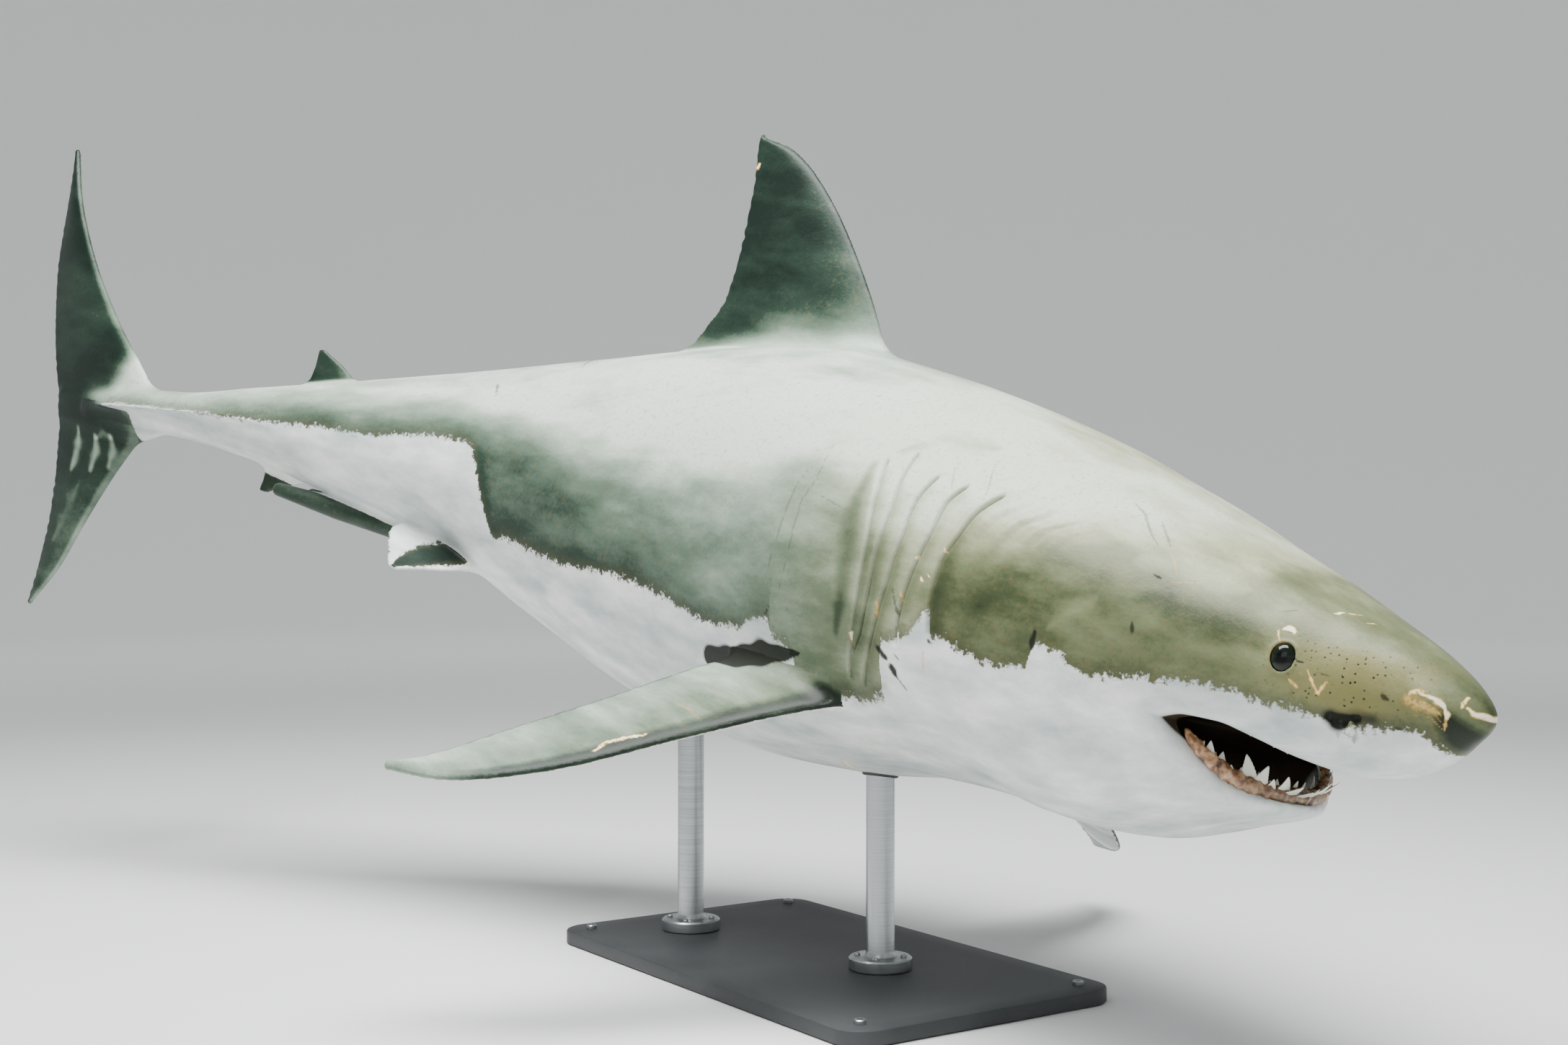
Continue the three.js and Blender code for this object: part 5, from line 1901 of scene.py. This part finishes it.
@dataclass
class Jaws:
    """Two arches of gum, each with a row of saw-edged teeth and a second row that lies behind it."""

    inset: float = 0.45  # how far the gum stands behind the lips at the front
    inwards: float = 0.55
    radius: float = 0.31
    reach: float = 80.0  # degrees either way from the middle
    teeth_reach: float = 68.0
    upper_heights: Sequence[float] = (0.5, 0.56, 0.54, 0.5, 0.46, 0.42, 0.38, 0.3, 0.26, 0.2)
    lower_heights: Sequence[float] = (0.85, 0.75, 0.5, 0.78, 0.92, 0.36, 0.3, 0.48, 0.5, 0.26)
    upper_lean: float = 0.12  # radians outwards
    lower_lean: float = 1.1  # at the front
    lean_falls: tuple[float, float] = (0.08, 0.2)  # from tooth to tooth, on the left and the right
    seed: int = 7

    GUM_RINGS, GUM_SIDES = 150, 18
    TOOTH_RINGS, TOOTH_SIDES = 17, 16
    TIP = 0.985  # where the last ring lies, as a share of the height
    ROWS = ((0.0, 1.0, 0.0), (0.22, 0.62, -0.75))  # set back, share of the height, extra lean

    def __post_init__(self) -> None:
        """Starts the random draws."""
        self.draw = np.random.default_rng(self.seed)

    def middle(self, angle: float | Array, row: Row) -> Array:
        """A point on the gum's middle line.

        Args:
            angle: how far round the arch in radians, 0 at the front.
            row: which jaw.

        Returns:
            (s, y, z), or rows of them.
        """
        upper = row is Row.UPPER
        front = MOUTH.upper_front if upper else MOUTH.lower_front
        s = MOUTH.corner - (MOUTH.corner - front - self.inset) * np.cos(angle)
        half = MOUTH.upper_half - 1.5 * self.inwards if upper else MOUTH.lower_half - self.inwards
        z = MOUTH.upper(s) + 0.4 if upper else MOUTH.lower(s) + 0.2
        return np.stack(np.broadcast_arrays(s, half * np.sin(angle), z), -1)

    def gum(self, row: Row) -> Shape:
        """The lumpy ridge of gum in one jaw.

        Args:
            row: which jaw.

        Returns:
            The ridge on the straight body.
        """
        turn = around(self.GUM_SIDES)
        found = []
        for part in np.linspace(-1, 1, self.GUM_RINGS):
            angle = math.radians(self.reach) * part
            taper = math.sqrt(max(1 - abs(part) ** 10, 0.02))
            lumps = 0.16 * ripple(turn * 2 + angle * 9, angle * 23 + turn, 1.7)
            lumps = lumps + 0.09 * ripple(turn * 5 + angle * 31, angle * 57 - turn * 3, 4.1)
            swell = 0.1 * math.cos(angle * 38) + 0.07 * math.cos(angle * 61 + 1.3)
            radius = self.radius * taper * (1 + lumps + swell)
            out = 0.85 * radius * np.cos(turn)
            away = [-out * math.cos(angle), out * math.sin(angle), radius * np.sin(turn)]
            found.append(self.middle(np.full(self.GUM_SIDES, angle), row) + np.stack(away, 1))
        shape = Shape()
        shape.add_rings(found)
        return shape

    def tooth(self, angle: float, row: Row, height: float, lean: float, back: float) -> list[Array]:
        """Rings of one flat, saw-edged tooth.

        Args:
            angle: its place round the arch in radians.
            row: which jaw.
            height: in percent above the gum.
            lean: how far it leans outwards, in radians.
            back: how far it stands behind the front row.

        Returns:
            The rings from root to tip.
        """
        up = np.array([0, 0, -1 if row is Row.UPPER else 1])
        out = np.array([-math.cos(angle), math.sin(angle), 0])
        along = np.array([math.sin(angle), math.cos(angle), 0])
        rise = math.cos(lean) * up + math.sin(lean) * out
        face = np.cross(along, rise)
        face = face * np.sign(face @ out)
        root = self.middle(angle, row) - back * out - 0.02 * up
        tall, wide = height + 0.12, 0.44 * height + 0.1
        turn = around(self.TOOTH_SIDES)
        cos, sin = np.cos(turn)[:, None], np.sin(turn)[:, None]
        twist = self.draw.uniform(-0.3, 0.3) * height
        rings = []
        for k in range(self.TOOTH_RINGS):
            v = k / (self.TOOTH_RINGS - 1) * self.TIP
            saw = 1 + 0.05 * (-1) ** k * (k > 3)
            half = wide * ((1 - v) ** 0.85) * (1 - 0.12 * math.sin(math.pi * v)) * saw
            thick = 0.085 * (1 - v) ** 0.7 * np.where(sin > 0, 0.55, 1.0)
            centre = root + rise * tall * v + along * twist * v * v - face * 0.08 * v * v
            rings.append(centre + half * cos * along + thick * sin * face)
        return rings

    def teeth(self, row: Row, heights: Sequence[float]) -> Shape:
        """Both rows of teeth of one jaw.

        Args:
            row: which jaw.
            heights: in percent, from the middle outwards.

        Returns:
            The teeth as one shape.
        """
        shape = Shape()
        step = math.radians(self.teeth_reach) / len(heights)
        for (place, height), side, (back, share, lay) in product(enumerate(heights), Side, self.ROWS):
            tall = height * share * self.draw.uniform(0.86, 1.1)
            angle = side * (place + 0.5 + self.draw.uniform(-0.2, 0.2)) * step
            fall = self.lean_falls[side is Side.RIGHT]
            out = max(self.lower_lean - fall * place, 0.1) if row is Row.LOWER else self.upper_lean
            lean = out + lay + self.draw.uniform(-0.2, 0.2)
            rings = self.tooth(angle, row, tall, lean, back)
            shape.add_rings(rings)
            shape.heights += [k / len(rings) for k in range(len(rings)) for _ in rings[0]] + [0.0, 1.0]
        return shape

    def build(self) -> None:
        """Makes both gums and both sets of teeth."""
        gum, enamel = Gum().material(), Enamel().material()
        for row, heights in ((Row.UPPER, self.upper_heights), (Row.LOWER, self.lower_heights)):
            flesh = self.gum(row).bent_object(f"gum_{row.value}")
            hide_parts(f"{row.value}_gum_with_teeth")
            put_on(flesh, gum)
            shape = self.teeth(row, heights)
            teeth = shape.bent_object(f"teeth_{row.value}")
            add_attribute(teeth, "height", np.array(shape.heights))
            put_on(teeth, enamel)


@dataclass(frozen=True)
class EyeGlass:
    """A glass eye: a near-black pupil in a dark green iris under a clear, polished cornea."""

    pupil: str = "#030403"
    iris: str = "#0a140c"
    flecks: str = "#16261a"
    rim: str = "#060a05"
    roughness: float = 0.12
    fibre_mm: float = 2.083  # between the fibres of the iris

    def material(self) -> Material:
        """Builds the nodes; the eye's material."""
        nodes = Nodes("eye_glass")
        ring, place = nodes.read("ring", "Fac"), nodes.read("place", "Vector")
        fibres = nodes.noise(place, self.fibre_mm, 3.0)
        stops = ((0.38, self.pupil), (0.46, self.iris), (0.8, self.iris), (0.92, self.rim))
        base = nodes.ramp(ring, *stops)
        colour = nodes.mix(nodes.times(fibres, 0.5), base, self.flecks, blend_type="LIGHTEN")
        tinted = nodes.mix(nodes.span(ring, 0.4, 0.5), self.pupil, colour)
        coat = {"IOR": 1.33, "Coat Weight": 0.12, "Coat Roughness": 0.03}
        return nodes.surface({"Base Color": tinted, "Roughness": self.roughness} | coat)


@dataclass
class Eyes:
    """Two glass eyes, let into their sockets."""

    rings: int = 28
    sides: int = 56

    def build(self) -> None:
        """Makes both eyes."""
        finish = EyeGlass().material()
        for side in Side:
            self.eye(side, finish)

    def eye(self, side: Side, finish: Material) -> None:
        """Makes one eye.

        Args:
            side: which side of the head.
            finish: its material.
        """
        turn = around(self.sides)[:, None]
        cos, sin = ORBIT.turn
        along, out = np.array([cos, sin, 0]), np.array([-sin, cos, 0])
        disc = ORBIT.width * np.cos(turn) * along + ORBIT.height * np.sin(turn) * (0, 0, 1)
        rings, reach = [], []
        for k in range(self.rings):
            tilt = math.pi * (k + 0.6) / (self.rings + 0.2)
            centre = np.array(ORBIT.centre) + out * ORBIT.depth * math.cos(tilt)
            rings.append((centre + math.sin(tilt) * disc) * (1, side, 1))
            reach += [math.sin(tilt) if tilt < math.pi / 2 else 1.0] * self.sides
        shape = Shape()
        shape.add_rings(rings)
        label = side.name.lower()
        eye = shape.bent_object(f"eyeball_{label}")
        add_attribute(eye, "ring", np.array([*reach, 0.0, 1.0]))
        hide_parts(f"eye_{label}")
        put_on(eye, finish)


@dataclass(frozen=True)
class PaintedSteel:
    """Steel plate under stoved textured paint: near-black, matt, with a fine orange peel."""

    coat: str = "#2b2d2f"
    worn: str = "#3b3d3f"
    roughness: float = 0.5
    peel_mm: float = 4.0  # real peel is 1 to 2 mm; drawn this coarse so that it shows
    dust_mm: float = 166.67

    def material(self) -> Material:
        """Builds the nodes; the base's material."""
        nodes = Nodes("painted_steel")
        place = nodes.add("TexCoord", {}).outputs["Object"]
        peel = nodes.noise(place, self.peel_mm, 2.0)
        dust = nodes.noise(place, self.dust_mm, 6.0)
        colour = nodes.ramp(dust, (0.35, self.coat), (0.75, self.worn))
        rough = nodes.span(dust, 0.0, 1.0, self.roughness + 0.12, self.roughness - 0.08)
        relief = nodes.bump(peel, 0.35, 0.001)
        return nodes.surface({"Base Color": colour, "Roughness": rough, "IOR": 1.5, "Normal": relief})


@dataclass(frozen=True)
class BrushedSteel:
    """Stainless bar, brushed round its axis: fine rings that draw highlights out along the rod."""

    metal: str = "#b9bcbe"
    dull: str = "#9a9da0"
    roughness: float = 0.3
    stretch: tuple[float, float, float] = (6.0, 6.0, 700.0)  # marks to the metre; really 0.1 mm apart

    def material(self) -> Material:
        """Builds the nodes; the rods' material."""
        nodes = Nodes("brushed_steel")
        place = nodes.add("TexCoord", {}).outputs["Object"]
        stretched = nodes.add("VectorMath", {0: place, 1: self.stretch}, operation="MULTIPLY")
        marks = nodes.noise(stretched, 1000.0, 3.0)
        colour = nodes.ramp(marks, (0.3, self.dull), (0.7, self.metal))
        rough = nodes.span(marks, 0.0, 1.0, self.roughness + 0.1, self.roughness - 0.08)
        relief = nodes.bump(marks, 0.15, 0.0005)
        return nodes.surface(
            {"Base Color": colour, "Roughness": rough, "Metallic": 1.0, "Normal": relief}
        )


def lathe(profile: Knots, sides: int = 64, centre: tuple[float, float] = (0, 0)) -> list[Array]:
    """Rings turned round an upright axis.

    Args:
        profile: (radius, height) from one end to the other, in metres.
        sides: points in each ring.
        centre: x and y of the axis.

    Returns:
        The rings.
    """
    turn = around(sides)
    rings = [np.stack([r * np.cos(turn), r * np.sin(turn), np.full(sides, h)], 1) for r, h in profile]
    return [ring + (*centre, 0) for ring in rings]


@dataclass
class Stand:
    """A painted base plate, bolted down at its corners, and two brushed rods with collars."""

    length: float = 1.08
    width: float = 0.62
    thickness: float = 0.03
    corner: float = 0.06
    bevel: float = 0.004
    rod: float = 0.028
    collar: float = 0.062
    collar_height: float = 0.024
    bolt_inset: float = 0.055
    bolt: float = 0.011
    collar_bolt: float = 0.006
    bolt_circle: float = 0.046
    into_belly: float = 0.05
    seal: float = 0.005  # half thickness of the rubber ring
    stations: tuple[tuple[str, float], ...] = (("front", 31), ("rear", 44))

    def build(self, skin: Piece) -> None:
        """Makes the base and both rods.

        Args:
            skin: the shark's skin, which the rods run into.
        """
        paint, steel = PaintedSteel().material(), BrushedSteel().material()
        base = self.base()
        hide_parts("stand_base")
        put_on(base, paint)
        put_on(self.bolts(), steel)
        for label, station in self.stations:
            foot = self.foot(station)
            rod = self.rod_piece(label, foot)
            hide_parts(f"stand_rod_{label}")
            put_on(rod, steel)
            put_on(self.gasket(label, foot, skin), paint)

    def foot(self, station: float) -> Array:
        """Where the belly's middle lies at a station, in metres."""
        return SPINE.bend(np.array([[station, 0, float(TRUNK.section(np.array([station]))[1][0])]]))[0]

    def outline(self, inset: float) -> Array:
        """The base's rounded outline, drawn in by some metres.

        Args:
            inset: how far.

        Returns:
            Its points, one after another.
        """
        x, y, r = self.length / 2 - inset, self.width / 2 - inset, self.corner - inset
        points = []
        for k, (sx, sy) in enumerate(((1, 1), (-1, 1), (-1, -1), (1, -1))):
            for turn in np.linspace(0, math.pi / 2, 13):
                angle = turn + k * math.pi / 2
                points.append((sx * (x - r) + r * math.cos(angle), sy * (y - r) + r * math.sin(angle)))
        return np.array(points)

    def base(self) -> Piece:
        """The plate, with its edges eased."""
        b, top = self.bevel, self.thickness
        steps = [(b, 0.0), (0.0, b), (0.0, top - b), (0.3 * b, top - 0.3 * b), (b, top)]
        steps.append((self.corner * 0.8, top))
        flats = [(self.outline(inset), height) for inset, height in steps]
        shape = Shape()
        shape.add_rings([np.column_stack([flat, np.full(len(flat), height)]) for flat, height in flats])
        return shape.to_object("stand_plate", crease=40)

    def bolts(self) -> Piece:
        """Twelve cap screws: four in the plate's corners and four in each collar."""
        x, y = self.length / 2 - self.bolt_inset, self.width / 2 - self.bolt_inset
        spots = [(sx * x, sy * y, self.thickness, self.bolt) for sx, sy in product((-1, 1), repeat=2)]
        for _, station in self.stations:
            x, y, _ = self.foot(station)
            for k in range(4):
                angle = math.pi / 4 + k * math.pi / 2
                at = (x + self.bolt_circle * math.cos(angle), y + self.bolt_circle * math.sin(angle))
                spots.append((*at, self.thickness + self.collar_height, self.collar_bolt))
        shape = Shape()
        for x, y, z, r in spots:
            profile = [(r, z - 0.002), (r, z + 0.6 * r), (0.85 * r, z + 0.75 * r)]
            profile += [(0.55 * r, z + 0.75 * r), (0.5 * r, z + 0.3 * r)]
            shape.add_rings(lathe(profile, 24, (x, y)))
        return shape.to_object("stand_bolts", crease=35)

    def rod_piece(self, label: str, foot: Array) -> Piece:
        """One rod with its collar, up into the belly.

        Args:
            label: front or rear.
            foot: where it stands.

        Returns:
            The piece.
        """
        low, c, h, r = self.thickness, self.collar, self.collar_height, self.rod
        profile = [(c - 0.002, low + 0.0002), (c, low + 0.002), (c, low + h - 0.003), (c - 0.003, low + h)]
        profile += [(r + 0.008, low + h), (r + 0.003, low + h + 0.002), (r + 0.0005, low + h + 0.008)]
        profile += [(r, low + h + 0.012), (r, foot[2] + self.into_belly)]
        shape = Shape()
        shape.add_rings(lathe(profile, centre=tuple(foot[:2])))
        return shape.to_object(f"stand_post_{label}", crease=35)

    def gasket(self, label: str, foot: Array, skin: Piece) -> Piece:
        """A rubber ring that seals the rod's hole in the belly.

        Args:
            label: which rod.
            foot: where the rod meets the belly's middle.
            skin: the shark's skin.

        Returns:
            The ring.
        """
        sides, tube = 48, self.seal
        turn = around(10)[:, None]
        rings = []
        for k in range(sides + 1):
            angle = 2 * math.pi * k / sides
            out = Vector((math.cos(angle), math.sin(angle), 0))
            start = Vector((foot[0], foot[1], 0.1)) + out * (self.rod + 0.6 * tube)
            hit, where, _, _ = skin.ray_cast(start, Vector((0, 0, 1)))
            centre = np.array(where if hit else (start.x, start.y, foot[2]))
            rings.append(centre + tube * (np.cos(turn) * np.array(out) + np.sin(turn) * (0, 0, 1)))
        shape = Shape()
        shape.add_rings(rings)
        return shape.to_object(f"stand_gasket_{label}")


# ---- Studio ----


@dataclass
class Studio:
    """A pale floor that sweeps up into a round backdrop, soft lights and the camera."""

    floor_radius: float = 13.0
    sweep: float = 9.0  # radius of the curve up to the wall
    floor_colour: str = "#e9eae9"
    wall_lights: int = 6
    wall_ring: tuple[float, float] = (8.0, 7.5)  # distance from the middle and height, in metres
    wall_target: tuple[float, float] = (19.0, 3.0)
    wall_size: tuple[float, float] = (5.0, 1.5)
    wall_watts: float = 420.0
    sky: str = "#e9edf0"
    sky_strength: float = 0.35
    lens: float = 45.116
    eye: tuple[float, float, float] = (3.2357, -2.2792, 0.9007)
    aim: float = 55.862  # degrees from +Y towards -X

    def build(self) -> None:
        """Makes floor, lights and camera."""
        self.lay_floor()
        self.hang_lights()
        self.place_camera()

    def lay_floor(self) -> None:
        """Turns the floor's profile into a shallow bowl."""
        turns, flat, rise = 96, 6, 16
        profile = [(self.floor_radius * i / flat, 0.0) for i in range(1, flat + 1)]
        for angle in np.linspace(0, math.pi / 2, rise + 1)[1:]:
            sideways, up = self.sweep * math.sin(angle), self.sweep * (1 - math.cos(angle))
            profile.append((self.floor_radius + sideways, up))
        points = np.concatenate([np.zeros((1, 3)), *lathe(profile, turns)])
        faces = [(0, 1 + k, 1 + (k + 1) % turns) for k in range(turns)]
        quads = rings_to_quads(len(profile), turns)
        faces += [tuple(1 + v for v in reversed(quad)) for quad in quads]
        floor = mesh_object("studio_floor", points, faces)
        paper = {"Base Color": linear(self.floor_colour), "Roughness": 0.9}
        floor.data.materials.append(Nodes("studio_paper").surface(paper))

    def hang_lights(self) -> None:
        """Hangs a wide soft light, a weaker one in front, and a ring that faces the backdrop."""
        middle = (-0.3, 0.0, 1.0)
        # name, place, target, size in metres, and watts
        lamps = [
            ("light_overhead", (0.5, -0.9, 4.6), middle, (4.2, 2.2), 600.0),
            ("light_front", (3.5, -5.0, 3.6), middle, (3.5, 2.5), 40.0),
        ]
        for k in range(self.wall_lights):
            turn = 2 * math.pi * (k + 0.5) / self.wall_lights
            place, target = [
                (far * math.cos(turn), far * math.sin(turn), height)
                for far, height in (self.wall_ring, self.wall_target)
            ]
            lamps.append((f"light_wall_{k}", place, target, self.wall_size, self.wall_watts))
        for name, place, target, size, watts in lamps:
            lamp = bpy.data.lights.new(name, "AREA")
            lamp.shape = "RECTANGLE"
            lamp.size, lamp.size_y = size
            lamp.energy = watts
            piece = bpy.data.objects.new(name, lamp)
            piece.location = place
            piece.rotation_euler = (Vector(target) - Vector(place)).to_track_quat("-Z", "Y").to_euler()
            piece.visible_camera = False
            bpy.context.scene.collection.objects.link(piece)
        world = bpy.data.worlds.new("studio_world")
        world.use_nodes = True
        sky = world.node_tree.nodes["Background"].inputs
        sky["Color"].default_value = linear(self.sky)
        sky["Strength"].default_value = self.sky_strength
        bpy.context.scene.world = world

    def place_camera(self) -> None:
        """Sets the camera level with the shark, off its right side."""
        camera = bpy.data.cameras.new("camera")
        camera.lens = self.lens
        camera.clip_end = 200
        piece = bpy.data.objects.new("camera", camera)
        piece.location = self.eye
        piece.rotation_euler = (math.pi / 2, 0, math.radians(self.aim))
        bpy.context.scene.collection.objects.link(piece)
        bpy.context.scene.camera = piece


def main() -> None:
    """Builds every piece in order."""
    logging.basicConfig(level=logging.INFO, format="%(name)s: %(message)s")
    Studio().build()
    skin = Skin().build()
    Jaws().build()
    Eyes().build()
    Stand().build(skin)
    bpy.context.view_layer.update()


if __name__ == "__main__":
    main()
